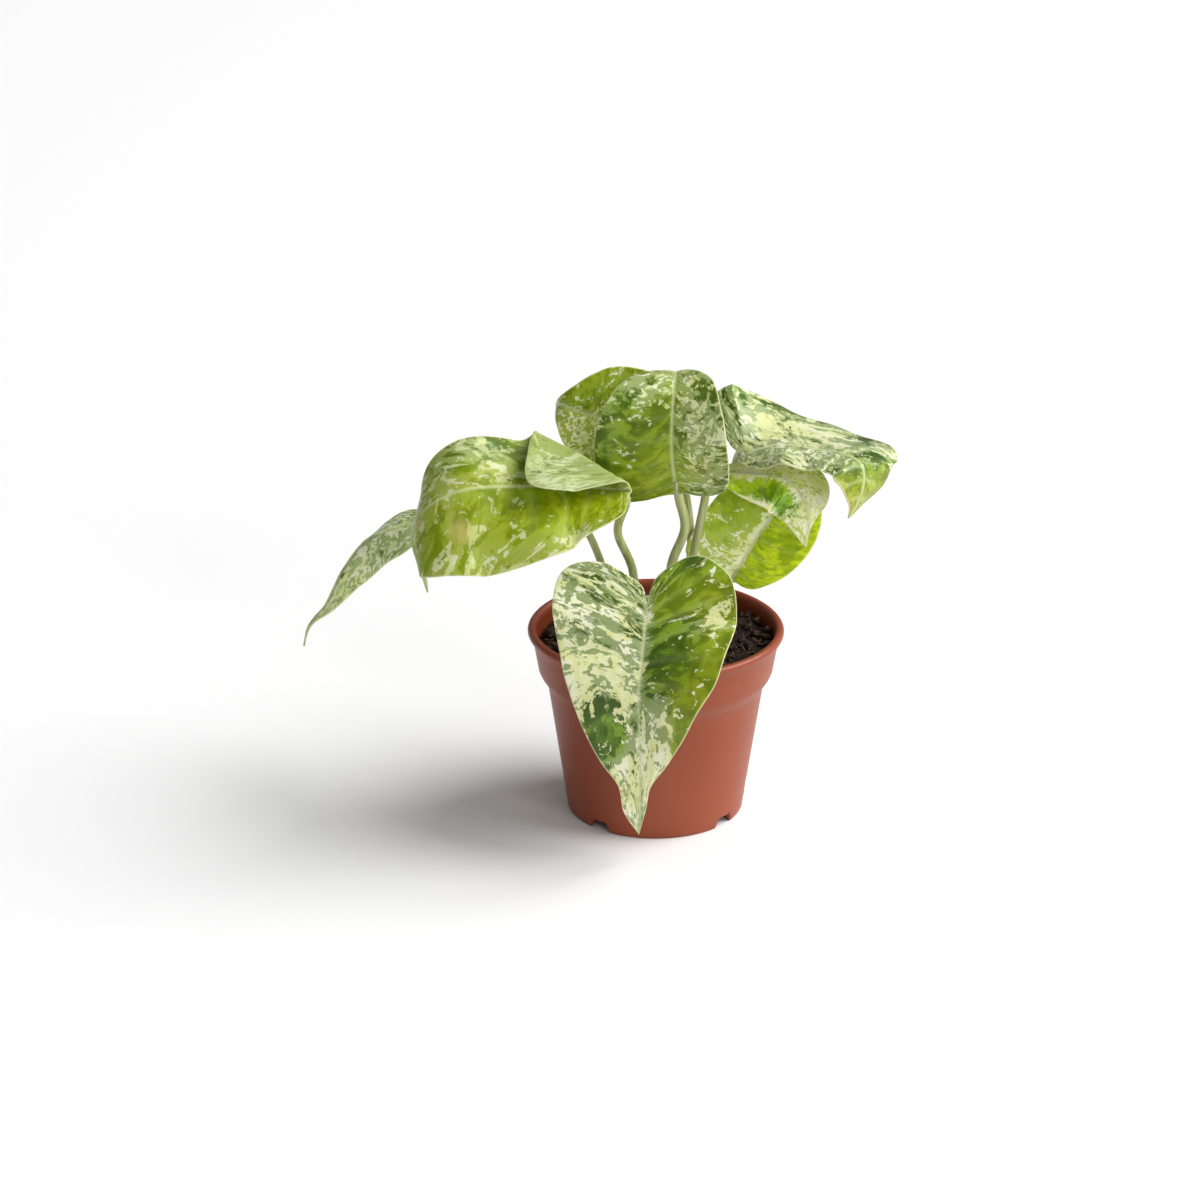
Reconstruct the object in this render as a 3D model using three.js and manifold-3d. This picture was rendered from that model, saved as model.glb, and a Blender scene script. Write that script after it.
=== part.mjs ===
// A young marble queen pothos in a small plastic nursery pot.
// Millimetres, +Z up. The leaves are laid out from the pot's axis, and +Y points away from the viewer.

import * as THREE from "three";
import { mergeVertices } from "three/addons/utils/BufferGeometryUtils.js";
import Module from "manifold-3d";

const wasm = await Module();
wasm.setup();

// Pot
const POT_HEIGHT = 45.6;
const RIM_RADIUS = 30;
const COLLAR_RADIUS = 28.8;
const SHOULDER_RADIUS = 25.4;
const SHOULDER_HEIGHT = 31.5;
const FOOT_RADIUS = 20.8;
const WALL = 1.1;
const FLOOR_UNDERSIDE = 3;
const FLOOR_TOP = 4;
const POT_SIDES = 64;
const NOTCHES = 4;
const NOTCH_DIRECTION = 50.5;
const NOTCH_WIDTH = 5.8;
const NOTCH_HEIGHT = 2.4;
const DRAIN_RADIUS = 2.5;
const DRAIN_RING = 11;

// Soil
const SOIL_LEVEL = 42;
const SOIL_GAP = 0.35;
const SOIL_SIDES = 48;
const CRUMB_HEIGHT = 0.35;

// Leaf blades and stalks
const BLADE_THICKNESS = 0.7;
const MIDRIB_DEPTH = 0.7;
const FAN_SHARE = 0.3;
const ROWS = 20;
const COLUMNS = [0, 0.07, 0.28, 0.52, 0.77, 1];
const STALK_SIDES = 8;
const STALK_STEPS = 22;
const STALK_FOOT = 34;
const HOLE_GAP = 0.4;

// Half outlines of a flat blade, from the notch at the stalk round to the tip:
// share of the midrib's length, share of the half's width.
const HEART = [
  [-0.03, 0], [-0.1, 0.17], [-0.15, 0.4], [-0.155, 0.63], [-0.1, 0.85], [0.02, 0.98], [0.2, 1],
  [0.4, 0.88], [0.57, 0.64], [0.7, 0.34], [0.8, 0.16], [0.9, 0.075], [1, 0],
];
const DEEP = [
  [-0.02, 0], [-0.09, 0.07], [-0.14, 0.29], [-0.17, 0.48], [-0.16, 0.76], [-0.1, 0.93], [0.03, 0.97],
  [0.2, 0.9], [0.4, 0.8], [0.57, 0.63], [0.7, 0.43], [0.8, 0.23], [0.9, 0.17], [1, 0],
];
const CLEFT = [
  [-0.02, 0], [-0.09, 0.07], [-0.14, 0.25], [-0.17, 0.46], [-0.16, 0.67], [-0.1, 0.9], [0.03, 0.98],
  [0.2, 0.93], [0.4, 0.84], [0.57, 0.63], [0.7, 0.35], [0.8, 0.13], [0.9, 0.07], [1, 0],
];
const ROUND = [
  [-0.03, 0], [-0.1, 0.17], [-0.15, 0.4], [-0.155, 0.63], [-0.1, 0.82], [0.02, 0.93], [0.16, 0.99],
  [0.32, 0.97], [0.48, 0.84], [0.62, 0.66], [0.74, 0.4], [0.86, 0.13], [1, 0],
];
const BROAD = [
  [-0.03, 0], [-0.1, 0.17], [-0.15, 0.4], [-0.155, 0.63], [-0.1, 0.85], [0.02, 0.97], [0.2, 1],
  [0.4, 0.97], [0.57, 0.84], [0.7, 0.62], [0.8, 0.34], [0.88, 0.1], [1, 0],
];
const OVAL = [
  [-0.03, 0], [-0.05, 0.14], [-0.05, 0.28], [-0.01, 0.46], [0.06, 0.66], [0.16, 0.86], [0.3, 0.98],
  [0.45, 1], [0.6, 0.88], [0.72, 0.65], [0.82, 0.34], [0.89, 0.1], [1, 0],
];
const FULL = [
  [-0.03, 0], [-0.05, 0.14], [-0.05, 0.28], [-0.01, 0.46], [0.06, 0.66], [0.16, 0.86], [0.3, 1],
  [0.45, 0.98], [0.6, 0.87], [0.72, 0.63], [0.82, 0.34], [0.9, 0.12], [1, 0],
];
const LATE = [
  [-0.03, 0], [-0.02, 0.06], [0, 0.2], [0.04, 0.32], [0.1, 0.44], [0.18, 0.61], [0.28, 0.79],
  [0.38, 0.88], [0.5, 0.86], [0.64, 0.75], [0.78, 0.6], [0.9, 0.34], [1, 0],
];
const BLUNT = [
  [-0.03, 0], [-0.05, 0.14], [-0.05, 0.28], [-0.01, 0.42], [0.06, 0.59], [0.16, 0.78], [0.3, 0.97],
  [0.45, 1], [0.6, 0.91], [0.72, 0.61], [0.8, 0.26], [0.88, 0.06], [1, 0],
];
const TURNED = [
  [-0.03, 0], [-0.1, 0.17], [-0.15, 0.36], [-0.155, 0.63], [-0.1, 0.88], [0.02, 1], [0.2, 1.02],
  [0.4, 0.83], [0.57, 0.66], [0.7, 0.43], [0.8, 0.2], [0.9, 0.12], [1, 0],
];
const LONG = [
  [-0.03, 0], [-0.05, 0.14], [-0.05, 0.26], [-0.01, 0.48], [0.06, 0.68], [0.16, 0.83], [0.3, 0.94],
  [0.45, 1], [0.6, 0.94], [0.72, 0.77], [0.82, 0.56], [0.9, 0.25], [1, 0],
];
const NARROW = [
  [-0.03, 0], [-0.04, 0.1], [-0.04, 0.21], [0, 0.36], [0.06, 0.58], [0.16, 0.78], [0.3, 0.87],
  [0.45, 0.85], [0.6, 0.79], [0.72, 0.7], [0.82, 0.46], [0.9, 0.22], [1, 0],
];
const WIDE = [
  [-0.03, 0], [-0.1, 0.17], [-0.15, 0.56], [-0.155, 0.79], [-0.1, 0.89], [0.02, 0.94], [0.2, 1],
  [0.4, 0.91], [0.57, 0.67], [0.7, 0.5], [0.8, 0.35], [0.9, 0.17], [1, 0],
];
const SLIM = [
  [-0.03, 0], [-0.04, 0.12], [-0.02, 0.26], [0.04, 0.48], [0.12, 0.74], [0.22, 0.94], [0.33, 1],
  [0.44, 0.92], [0.55, 0.68], [0.65, 0.42], [0.75, 0.22], [0.87, 0.1], [1, 0],
];

// Each leaf: where its stalk leaves the soil, the stalk's bends, and the midrib from stalk to tip.
// "face" gives the way that the upper side looks along the midrib. "right" and "left" are the
// halves seen from above with the tip ahead. fold and curl are degrees that the half turns up at
// the midrib and again towards its edge, at even steps along the midrib. wave is the height,
// count and start of the ripples in its edge. corner turns a lobe over along a crease.
const LEAVES = {
  leaf_front: {
    colour: 0x6f9247,
    stalk: { radius: 1, root: [-1, -8], bends: [[-1.3, -12, 53.5], [-2, -20.5, 60]] },
    rib: [[-2.6, -29, 61.5], [-3.4, -33.8, 52.4], [-4.3, -36.4, 42.7], [-4, -36, 24.5], [-4.1, -31.5, 6.3]],
    face: [[0, -0.84, 0.41], [-0.11, -0.93, -0.11], [0.07, -0.94, -0.09]],
    right: {
      outline: DEEP, lobe: 0.97, width: 21.8, fold: [5, 9, 8], curl: [-7, -10, 8], wave: [0.8, 3, 0.1],
    },
    left: {
      outline: CLEFT, lobe: 1.28, width: 20.9, fold: [8, 23, 15], curl: [-6, -2, 1], wave: [0.8, 3, 0.5],
    },
  },
  leaf_left: {
    colour: 0x8a9a3c,
    stalk: { radius: 1, root: [-4.5, -1], bends: [[-5.5, -2, 60], [-9, -5, 71]] },
    rib: [
      [-8, -8, 82], [-19.6, -7.6, 82.6], [-30.8, -10.8, 83.9], [-44, -13.2, 83.9],
      [-53.3, -12.2, 78.4], [-56.3, -7.3, 69.5], [-53.3, 0.4, 53.4],
    ],
    face: [
      [0.11, -0.41, 0.91], [-0.11, -0.39, 0.96], [-0.44, -0.73, 0.59], [-0.55, -0.39, 0.67],
      [-1, -0.29, -0.06],
    ],
    right: {
      outline: TURNED, lobe: 0.8, width: 18.1, fold: [-2, -1, -8, -10, -11], curl: [0, -3, 4],
      wave: [0.6, 2, 0],
      corner: { from: [0.128, 0], to: [0.271, 1], dip: 7.7, radius: 1.95, turn: 173.6 },
    },
    left: {
      outline: LONG, lobe: 0.35, width: 21.2, fold: [9, -8, -2, -7, -18], curl: [0, -8, 0],
      wave: [0.6, 2, 0.4],
    },
    rows: 28,
    columns: [0, 0.1, 0.25, 0.4, 0.55, 0.7, 0.85, 1],
  },
  leaf_far_left: {
    colour: 0x9fb08a,
    stalk: { radius: 0.9, root: [-9, 5], bends: [[-15, 6, 64.5], [-27, 10, 80.5], [-42, 11, 77]] },
    rib: [
      [-52.5, 10, 67.5], [-60, 9, 66.5], [-67.5, 8, 64], [-73.5, 7, 56.5],
      [-77.5, 6, 48.5], [-81.5, 5, 43.5], [-83, 5, 38],
    ],
    face: [[-0.1, -0.3, 0.9], [-0.4, -0.3, 0.8], [-0.7, -0.2, 0.7], [-0.9, -0.2, 0.5]],
    right: { outline: SLIM, lobe: 0.4, width: 9, fold: [15, -25, -60, -30, -5], curl: [-10, -10, 0] },
    left: { outline: SLIM, lobe: 0.6, width: 7.5, fold: [-15, -35, -55, -30, -5], curl: [-10, -10, 0] },
    columns: [0, 0.2, 0.45, 0.72, 1],
  },
  leaf_back_left: {
    colour: 0x8ea238,
    stalk: { radius: 0.9, root: [3.5, 7.5], bends: [[8, 9, 58], [6, 11, 77.5]] },
    rib: [[-2.5, 13, 88], [-9.5, 14, 90.5], [-16.5, 15, 92.5], [-22, 18, 93.5], [-23.5, 26, 91]],
    face: [[0, -0.8, 0.5], [0, -0.8, 0.5], [-0.2, -0.8, 0.5], [-1, -0.2, 0.2]],
    right: { outline: HEART, lobe: 0.6, width: 14, fold: [5, 5, 5], curl: [0, 0, 0] },
    left: { outline: HEART, lobe: 0.6, width: 13.5, fold: [5, 5, 5], curl: [0, 0, 0] },
  },
  leaf_centre: {
    colour: 0x7f9a45,
    stalk: { radius: 1.1, root: [2.5, -1], bends: [[3.5, -2.5, 61.5], [6.5, -3, 71]] },
    rib: [
      [4.5, -3, 80.5], [3.5, -2, 88], [3.5, 0, 96], [4, 5, 102], [4.5, 15, 102.5], [4.5, 25, 98.5],
    ],
    face: [[-0.25, -1, 0.2], [-0.25, -0.9, 0.4], [-0.1, -0.6, 0.8], [0, 0, 1]],
    right: { outline: ROUND, lobe: 0.3, width: 13.5, fold: [8, 8, 8], curl: [-10, 0, 0] },
    left: { outline: ROUND, lobe: 0.3, width: 18.2, fold: [8, 8, 8], curl: [-10, 0, 0] },
  },
  leaf_right: {
    colour: 0x8fa97c,
    stalk: {
      radius: 1, root: [10, 7], bends: [[14, 12, 58], [17.5, 16.5, 73], [19, 13.5, 82], [20, 6, 86.5]],
    },
    rib: [
      [20.5, -1, 88.5], [28, -1.3, 90.6], [36.3, -2.8, 90], [42.3, -5.5, 90],
      [46.2, -9.6, 88.8], [46.7, -11.3, 84.6], [45.3, -12.3, 80.2], [43.4, -12.9, 76.9],
    ],
    face: [
      [-0.1, -0.38, 0.94], [0.2, -0.06, 1], [0.15, -0.14, 0.95], [0, -0.03, 1],
      [0.5, -0.46, 0.73], [0.72, -0.73, 0.12], [0.8, -0.62, -0.15], [0.75, -0.63, -0.28],
    ],
    right: { outline: NARROW, lobe: 1, width: 10.6, fold: [-15, -6, -17, -5], curl: [-8, 0, 5] },
    left: { outline: WIDE, lobe: 0.82, width: 18.9, fold: [25, -6, -9, -11, -13], curl: [1, 1, -6] },
  },
  leaf_right_middle: {
    colour: 0x7d9a4a,
    stalk: { radius: 1, root: [6, 1.5], bends: [[8.5, 1, 62], [11, 0, 76]] },
    rib: [
      [13.5, 1.5, 83], [20.5, -0.4, 83.2], [28.7, -2, 82.7], [32.7, -3.7, 79.7],
      [34.6, -6.6, 74.8], [34.3, -8.1, 67.9],
    ],
    face: [[0, -0.8, 0.8], [-0.18, -0.68, 0.72], [0.08, -1, 0.23]],
    right: { outline: LATE, lobe: 1, width: 10.7, fold: [18, 3, -8], curl: [0, 0, 0] },
    left: { outline: BLUNT, lobe: 1, width: 9.3, fold: [-45, -32, -15], curl: [0, 0, 0] },
  },
  leaf_right_low: {
    colour: 0x86982f,
    stalk: { radius: 1, root: [11.5, -2.5], bends: [[13, -0.5, 48.5], [15.5, 2.5, 52]] },
    rib: [[18, 5, 55.5], [22.5, 8, 62.5], [28, 10, 70], [33, 12, 76.5], [36.5, 15, 80.5]],
    face: [[0, -1, 0.4], [0, -1, 0.4], [0, -1, 0.4]],
    right: { outline: OVAL, lobe: 0.5, width: 12, fold: [5, 5, 5], curl: [0, 0, 0] },
    left: { outline: BROAD, lobe: 0.4, width: 13.5, fold: [5, 5, 5], curl: [0, 0, 0] },
  },
};

const vector = (list) => new THREE.Vector3(...list);
const radians = THREE.MathUtils.degToRad;
const clamp = THREE.MathUtils.clamp;

// A smooth curve through a list of points, t from 0 to 1.
function spline(points, t) {
  const last = points.length - 1;
  const x = clamp(t, 0, 1) * last;
  const i = Math.min(Math.floor(x), last - 1);
  const f = x - i;
  return points[i].map((b, k) => {
    const c = points[i + 1][k];
    const a = i > 0 ? points[i - 1][k] : 2 * b - c;
    const d = i + 2 <= last ? points[i + 2][k] : 2 * c - b;
    return b + 0.5 * f * (c - a + f * (2 * a - 5 * b + 4 * c - d + f * (3 * (b - c) + d - a)));
  });
}

function slope(points, t) {
  const low = Math.max(t - 1e-4, 0);
  const high = Math.min(t + 1e-4, 1);
  return vector(spline(points, high)).sub(vector(spline(points, low))).divideScalar(high - low);
}

function along(values, t) {
  return spline(values.map((value) => [value]), t)[0];
}

function ribLength(rib) {
  let total = 0;
  for (let i = 0; i < 60; i++) {
    total += slope(rib, i / 59).length();
  }
  return total / 60;
}

// The midrib's point and its forward, upward and rightward directions.
function ribFrame(leaf, w) {
  const t = clamp(w, 0, 1);
  const point = vector(spline(leaf.rib, t));
  const forward = slope(leaf.rib, t).normalize();
  const faces = leaf.face.map((face) => vector(face).normalize().toArray());
  const up = vector(spline(faces, t));
  up.addScaledVector(forward, -up.dot(forward)).normalize();
  const right = forward.clone().cross(up);
  point.addScaledVector(forward, Math.min(w, 0) * leaf.length);
  return { point, forward, up, right };
}

// Turn the corner of a flat half over along its crease: new place and height above the half.
function turnCorner(half, length, w, v) {
  if (!half.corner) {
    return [w, v, 0];
  }
  const { from, to, dip, radius, turn } = half.corner;
  const start = new THREE.Vector2(from[0] * length, from[1] * half.width);
  const crease = new THREE.Vector2(to[0] * length, to[1] * half.width).sub(start).normalize();
  const away = new THREE.Vector2(-crease.y, crease.x);
  const place = new THREE.Vector2(w * length, v * half.width);
  const past = Math.max(place.clone().sub(start).dot(away) - dip * (1 - v) ** 2, 0);
  const bend = radians(turn);
  const angle = Math.min(past / radius, bend);
  const over = Math.max(past - radius * bend, 0);
  const reach = radius * Math.sin(angle) + over * Math.cos(bend);
  const height = radius * (1 - Math.cos(angle)) + over * Math.sin(bend);
  place.addScaledVector(away, reach - past);
  return [place.x / length, place.y / half.width, height];
}

// A flat place on one half, w along the midrib and v across it, put where the leaf has it.
function bladePoint(leaf, hand, flatW, flatV) {
  const half = hand > 0 ? leaf.right : leaf.left;
  const [w, v, height] = turnCorner(half, leaf.length, flatW, flatV);
  const inside = clamp(w, 0, 1);
  const fold = radians(along(half.fold, inside));
  const bent = radians(along(half.curl, inside));
  const curl = Math.abs(bent) < 1e-3 ? 1e-3 : bent;
  const angle = fold + curl * v;
  const out = (half.width / curl) * (Math.sin(angle) - Math.sin(fold));
  const rise = (half.width / curl) * (Math.cos(fold) - Math.cos(angle));
  const [waveHeight, waves, waveStart] = half.wave ?? [0, 0, 0];
  const ripple = waveHeight * v * v * Math.sin(2 * Math.PI * (waves * w + waveStart));
  const lift = height > 0 ? height : ripple;
  const { point, up, right } = ribFrame(leaf, w);
  point.addScaledVector(right, hand * (out - lift * Math.sin(angle)));
  return point.addScaledVector(up, rise + lift * Math.cos(angle));
}

// The way that the upper side looks at a place on one half.
function bladeNormal(leaf, hand, w, v) {
  const step = 1e-3;
  const ahead = bladePoint(leaf, hand, w + step, v).sub(bladePoint(leaf, hand, w - step, v));
  const outward = bladePoint(leaf, hand, w, v + step).sub(bladePoint(leaf, hand, w, v - step));
  return outward.cross(ahead).multiplyScalar(hand).normalize();
}

// A place on the flat half: t runs round the outline from notch to tip, s from midrib to edge.
// Lines of equal t are the side veins, which all start at the stalk up to FAN_SHARE.
function veinPlace(outline, t, s) {
  const [edgeW, edgeV] = spline(outline, t);
  const start = Math.max((t - FAN_SHARE) / (1 - FAN_SHARE), 0) ** 1.15;
  const bend = -0.08 * Math.min(2 * t, 1) ** 2 * edgeV;
  const middle = (start + edgeW) / 2 + bend;
  const w = (1 - s) ** 2 * start + 2 * (1 - s) * s * middle + s * s * edgeW;
  return [w, s * edgeV];
}

function lobedOutline(half) {
  return half.outline.map(([w, v]) => [w < 0 && v > 0 ? w * half.lobe : w, v]);
}

// The blade as a sheet without thickness. Both halves share the midrib and the notch.
function bladeSheet(leaf) {
  const rows = leaf.rows ?? ROWS;
  const columns = leaf.columns ?? COLUMNS;
  const places = [];
  const faces = [];
  const numbers = new Map();
  const corner = (hand, row, column) => {
    const t = row / rows;
    const shared = row === 0 || row === rows || column === 0;
    let name = `${hand} ${row} ${column}`;
    if (row === rows) name = "tip";
    else if (column === 0) name = `midrib ${t > FAN_SHARE ? row : 0}`;
    else if (row === 0) name = `notch ${column}`;
    if (!numbers.has(name)) {
      const outline = lobedOutline(hand > 0 ? leaf.right : leaf.left);
      const [w, v] = veinPlace(outline, t, columns[column]);
      const normal = bladeNormal(leaf, hand, w, v);
      if (shared) normal.add(bladeNormal(leaf, -hand, w, v)).normalize();
      const ridge = column === 0 ? MIDRIB_DEPTH * (1 - w) : 0;
      numbers.set(name, places.length);
      places.push({ point: bladePoint(leaf, hand, w, v), normal, ridge });
    }
    return numbers.get(name);
  };
  const addFace = (...face) => {
    if (new Set(face).size === 3) faces.push(face);
  };
  for (const hand of [1, -1]) {
    for (let row = 0; row < rows; row++) {
      for (let column = 0; column + 1 < columns.length; column++) {
        const inner = corner(hand, row, column);
        const outer = corner(hand, row, column + 1);
        const outerNext = corner(hand, row + 1, column + 1);
        const innerNext = corner(hand, row + 1, column);
        if (hand > 0) {
          addFace(inner, outer, outerNext);
          addFace(inner, outerNext, innerNext);
        } else {
          addFace(inner, outerNext, outer);
          addFace(inner, innerNext, outerNext);
        }
      }
    }
  }
  return { places, faces };
}

// Give a sheet its thickness: the same triangles on both faces, and a wall round the edge.
function thicken({ places, faces }) {
  const count = places.length;
  const raised = (height) => places.map(({ point, normal, ridge }) =>
    point.clone().addScaledVector(normal, height > 0 ? height : height - ridge));
  const corners = [...raised(BLADE_THICKNESS / 2), ...raised(-BLADE_THICKNESS / 2)];
  const closed = [];
  const edges = new Map();
  for (const [a, b, c] of faces) {
    closed.push([a, b, c], [c + count, b + count, a + count]);
    for (const [p, q] of [[a, b], [b, c], [c, a]]) edges.set(`${p} ${q}`, [p, q]);
  }
  for (const [p, q] of edges.values()) {
    if (!edges.has(`${q} ${p}`)) {
      closed.push([q, p, p + count], [q, p + count, q + count]);
    }
  }
  return solid(corners.flatMap((p) => p.toArray()), closed.flat());
}

function solid(coordinates, corners) {
  return new wasm.Manifold(new wasm.Mesh({
    numProp: 3,
    vertProperties: new Float32Array(coordinates),
    triVerts: new Uint32Array(corners),
  }));
}

// A closed geometry as a solid that can be joined and cut.
function solidFrom(geometry) {
  geometry.deleteAttribute("normal");
  geometry.deleteAttribute("uv");
  const merged = mergeVertices(geometry, 1e-3);
  const index = merged.index.array;
  const corners = [];
  for (let i = 0; i < index.length; i += 3) {
    const face = [index[i], index[i + 1], index[i + 2]];
    if (new Set(face).size === 3) corners.push(...face);
  }
  return solid(merged.attributes.position.array, corners);
}

function geometryFrom(body) {
  const mesh = body.getMesh();
  const geometry = new THREE.BufferGeometry();
  geometry.setAttribute("position", new THREE.BufferAttribute(mesh.vertProperties, 3));
  geometry.setIndex(new THREE.BufferAttribute(mesh.triVerts, 1));
  geometry.computeVertexNormals();
  return geometry;
}

// A body turned round the Z axis from a closed profile of radius and height.
function turned(profile, sides) {
  const points = profile.map(([radius, height]) => new THREE.Vector2(radius, height));
  return new THREE.LatheGeometry(points, sides).rotateX(Math.PI / 2);
}

function uprightCylinder(radius, bottom, top, [x, y], sides) {
  return new THREE.CylinderGeometry(radius, radius, top - bottom, sides)
    .rotateX(Math.PI / 2)
    .translate(x, y, (top + bottom) / 2);
}

function stalkSolid(leaf) {
  const { radius, root, bends } = leaf.stalk;
  const { point, forward, up } = ribFrame(leaf, 0);
  const under = (ahead, below) =>
    point.clone().addScaledVector(forward, ahead).addScaledVector(up, -below);
  const arriving = vector(bends[bends.length - 1]).sub(point).normalize();
  const path = new THREE.CatmullRomCurve3([
    vector([...root, STALK_FOOT]),
    vector([...root, (STALK_FOOT + SOIL_LEVEL) / 2]),
    vector([...root, SOIL_LEVEL + 0.6]),
    ...bends.map(vector),
    under(-1.2, 0.85).addScaledVector(arriving, 1.8),
    under(0, 0.85),
    under(1.8, 0.85),
  ]);
  const section = new THREE.Shape(
    Array.from({ length: STALK_SIDES }, (_, i) => {
      const angle = (2 * Math.PI * i) / STALK_SIDES;
      return new THREE.Vector2(radius * Math.cos(angle), radius * Math.sin(angle));
    }),
  );
  const settings = { steps: STALK_STEPS, bevelEnabled: false, extrudePath: path };
  return solidFrom(new THREE.ExtrudeGeometry(section, settings));
}

function leafSolid(leaf) {
  leaf.length = ribLength(leaf.rib);
  return thicken(bladeSheet(leaf)).add(stalkSolid(leaf));
}

function potSolid() {
  const inner = (radius) => radius - WALL;
  let body = solidFrom(turned([
    [0, FLOOR_UNDERSIDE],
    [FOOT_RADIUS - 1.1, FLOOR_UNDERSIDE],
    [FOOT_RADIUS - 1, 0],
    [FOOT_RADIUS, 0],
    [SHOULDER_RADIUS, SHOULDER_HEIGHT],
    [SHOULDER_RADIUS + 0.5, SHOULDER_HEIGHT + 0.6],
    [SHOULDER_RADIUS + 2, SHOULDER_HEIGHT + 3.2],
    [COLLAR_RADIUS, POT_HEIGHT - 2.7],
    [RIM_RADIUS - 0.5, POT_HEIGHT - 2.2],
    [RIM_RADIUS, POT_HEIGHT - 1.6],
    [RIM_RADIUS, POT_HEIGHT - 0.4],
    [RIM_RADIUS - 0.4, POT_HEIGHT],
    [RIM_RADIUS - 1, POT_HEIGHT],
    [inner(COLLAR_RADIUS), POT_HEIGHT - 2.8],
    [inner(SHOULDER_RADIUS) + 2, SHOULDER_HEIGHT + 3.5],
    [inner(SHOULDER_RADIUS), SHOULDER_HEIGHT],
    [inner(FOOT_RADIUS) + 0.6, FLOOR_TOP],
    [0, FLOOR_TOP],
  ], POT_SIDES));

  const half = NOTCH_WIDTH / 2;
  const notch = new THREE.Shape([
    new THREE.Vector2(-half, -1),
    new THREE.Vector2(half, -1),
    new THREE.Vector2(half, NOTCH_HEIGHT / 2),
    new THREE.Vector2(half - 0.8, NOTCH_HEIGHT),
    new THREE.Vector2(0.8 - half, NOTCH_HEIGHT),
    new THREE.Vector2(-half, NOTCH_HEIGHT / 2),
  ]);
  for (let i = 0; i < NOTCHES; i++) {
    const direction = radians(NOTCH_DIRECTION + (360 / NOTCHES) * i);
    const cut = new THREE.ExtrudeGeometry(notch, { depth: 4, bevelEnabled: false })
      .rotateX(Math.PI / 2)
      .translate(0, FOOT_RADIUS + 1.5, 0)
      .rotateZ(direction - Math.PI / 2);
    body = body.subtract(solidFrom(cut));
    const place = [DRAIN_RING * Math.cos(direction), DRAIN_RING * Math.sin(direction)];
    const drain = uprightCylinder(DRAIN_RADIUS, FLOOR_UNDERSIDE - 1, FLOOR_TOP + 1, place, 16);
    body = body.subtract(solidFrom(drain));
  }
  return body;
}

// Height of the soil's crumbs, by place.
function crumb(x, y) {
  const coarse = Math.sin(0.83 * x + 1.7) * Math.cos(0.71 * y + 0.4);
  const fine = Math.sin(1.9 * x + 1.3 * y) * Math.sin(1.6 * y - 0.9 * x);
  return CRUMB_HEIGHT * (coarse + 0.7 * fine);
}

function soilSolid() {
  const wallRadius = (radius) => radius - WALL - SOIL_GAP;
  const edge = wallRadius(COLLAR_RADIUS) - 0.25;
  const rings = [1, 0.86, 0.7, 0.54, 0.38, 0.2].map((share) => [share * (edge - 0.8), SOIL_LEVEL]);
  const geometry = turned([
    [0, FLOOR_TOP + SOIL_GAP],
    [wallRadius(FOOT_RADIUS) + 0.6, FLOOR_TOP + SOIL_GAP],
    [wallRadius(SHOULDER_RADIUS), SHOULDER_HEIGHT],
    [wallRadius(SHOULDER_RADIUS) + 2, SHOULDER_HEIGHT + 3.6],
    [edge, SOIL_LEVEL - 0.8],
    ...rings,
    [0, SOIL_LEVEL],
  ], SOIL_SIDES);
  const place = geometry.attributes.position;
  for (let i = 0; i < place.count; i++) {
    if (place.getZ(i) > SOIL_LEVEL - 0.1) {
      place.setZ(i, SOIL_LEVEL + crumb(place.getX(i), place.getY(i)));
    }
  }
  let body = solidFrom(geometry);
  for (const { stalk } of Object.values(LEAVES)) {
    const bottom = STALK_FOOT - HOLE_GAP;
    body = body.subtract(solidFrom(
      uprightCylinder(stalk.radius + HOLE_GAP, bottom, SOIL_LEVEL + 3, stalk.root, 12)));
  }
  return body;
}

function mesh(name, body, colour, roughness) {
  const material = new THREE.MeshStandardMaterial({ color: colour, roughness, metalness: 0 });
  const piece = new THREE.Mesh(geometryFrom(body), material);
  piece.name = name;
  return piece;
}

const plant = new THREE.Group();
plant.add(mesh("pot", potSolid(), 0xb56a4e, 0.5));
plant.add(mesh("soil", soilSolid(), 0x2b1a10, 0.95));
for (const [name, leaf] of Object.entries(LEAVES)) {
  plant.add(mesh(name, leafSolid(leaf), leaf.colour, 0.35));
}

// The origin is under the middle of the whole plant, on the ground.
const extent = new THREE.Box3().setFromObject(plant);
const middle = extent.getCenter(new THREE.Vector3());
plant.position.set(-middle.x, -middle.y, -extent.min.z);
plant.updateMatrixWorld(true);

export default plant;
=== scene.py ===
# A young marble queen pothos in a small plastic nursery pot: fine meshes and finishes.
# Metres, +Z up. Leaves and stalks are laid out in millimetres from the pot's axis.

import math

import bmesh
import bpy
import numpy as np
from mathutils import Matrix, Vector


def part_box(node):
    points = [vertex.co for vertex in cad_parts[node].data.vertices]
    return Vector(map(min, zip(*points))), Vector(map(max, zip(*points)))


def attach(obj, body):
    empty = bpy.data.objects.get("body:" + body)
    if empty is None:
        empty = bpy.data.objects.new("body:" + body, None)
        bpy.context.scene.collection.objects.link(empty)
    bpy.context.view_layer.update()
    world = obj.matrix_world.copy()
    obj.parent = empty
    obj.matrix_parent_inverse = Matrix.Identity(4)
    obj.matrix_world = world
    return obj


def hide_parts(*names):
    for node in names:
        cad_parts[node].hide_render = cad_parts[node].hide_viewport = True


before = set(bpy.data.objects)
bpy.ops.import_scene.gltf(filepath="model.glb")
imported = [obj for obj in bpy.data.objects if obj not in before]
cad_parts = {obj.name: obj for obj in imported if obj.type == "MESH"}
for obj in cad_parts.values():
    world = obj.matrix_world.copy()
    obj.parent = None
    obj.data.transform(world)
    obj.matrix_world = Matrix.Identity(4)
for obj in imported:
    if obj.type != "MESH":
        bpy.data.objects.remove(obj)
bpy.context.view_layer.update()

MM = 0.001
pot_low, pot_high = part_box("pot")
POT_AXIS = np.array([(pot_low[0] + pot_high[0]) / 2, (pot_low[1] + pot_high[1]) / 2, 0.0])

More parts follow.
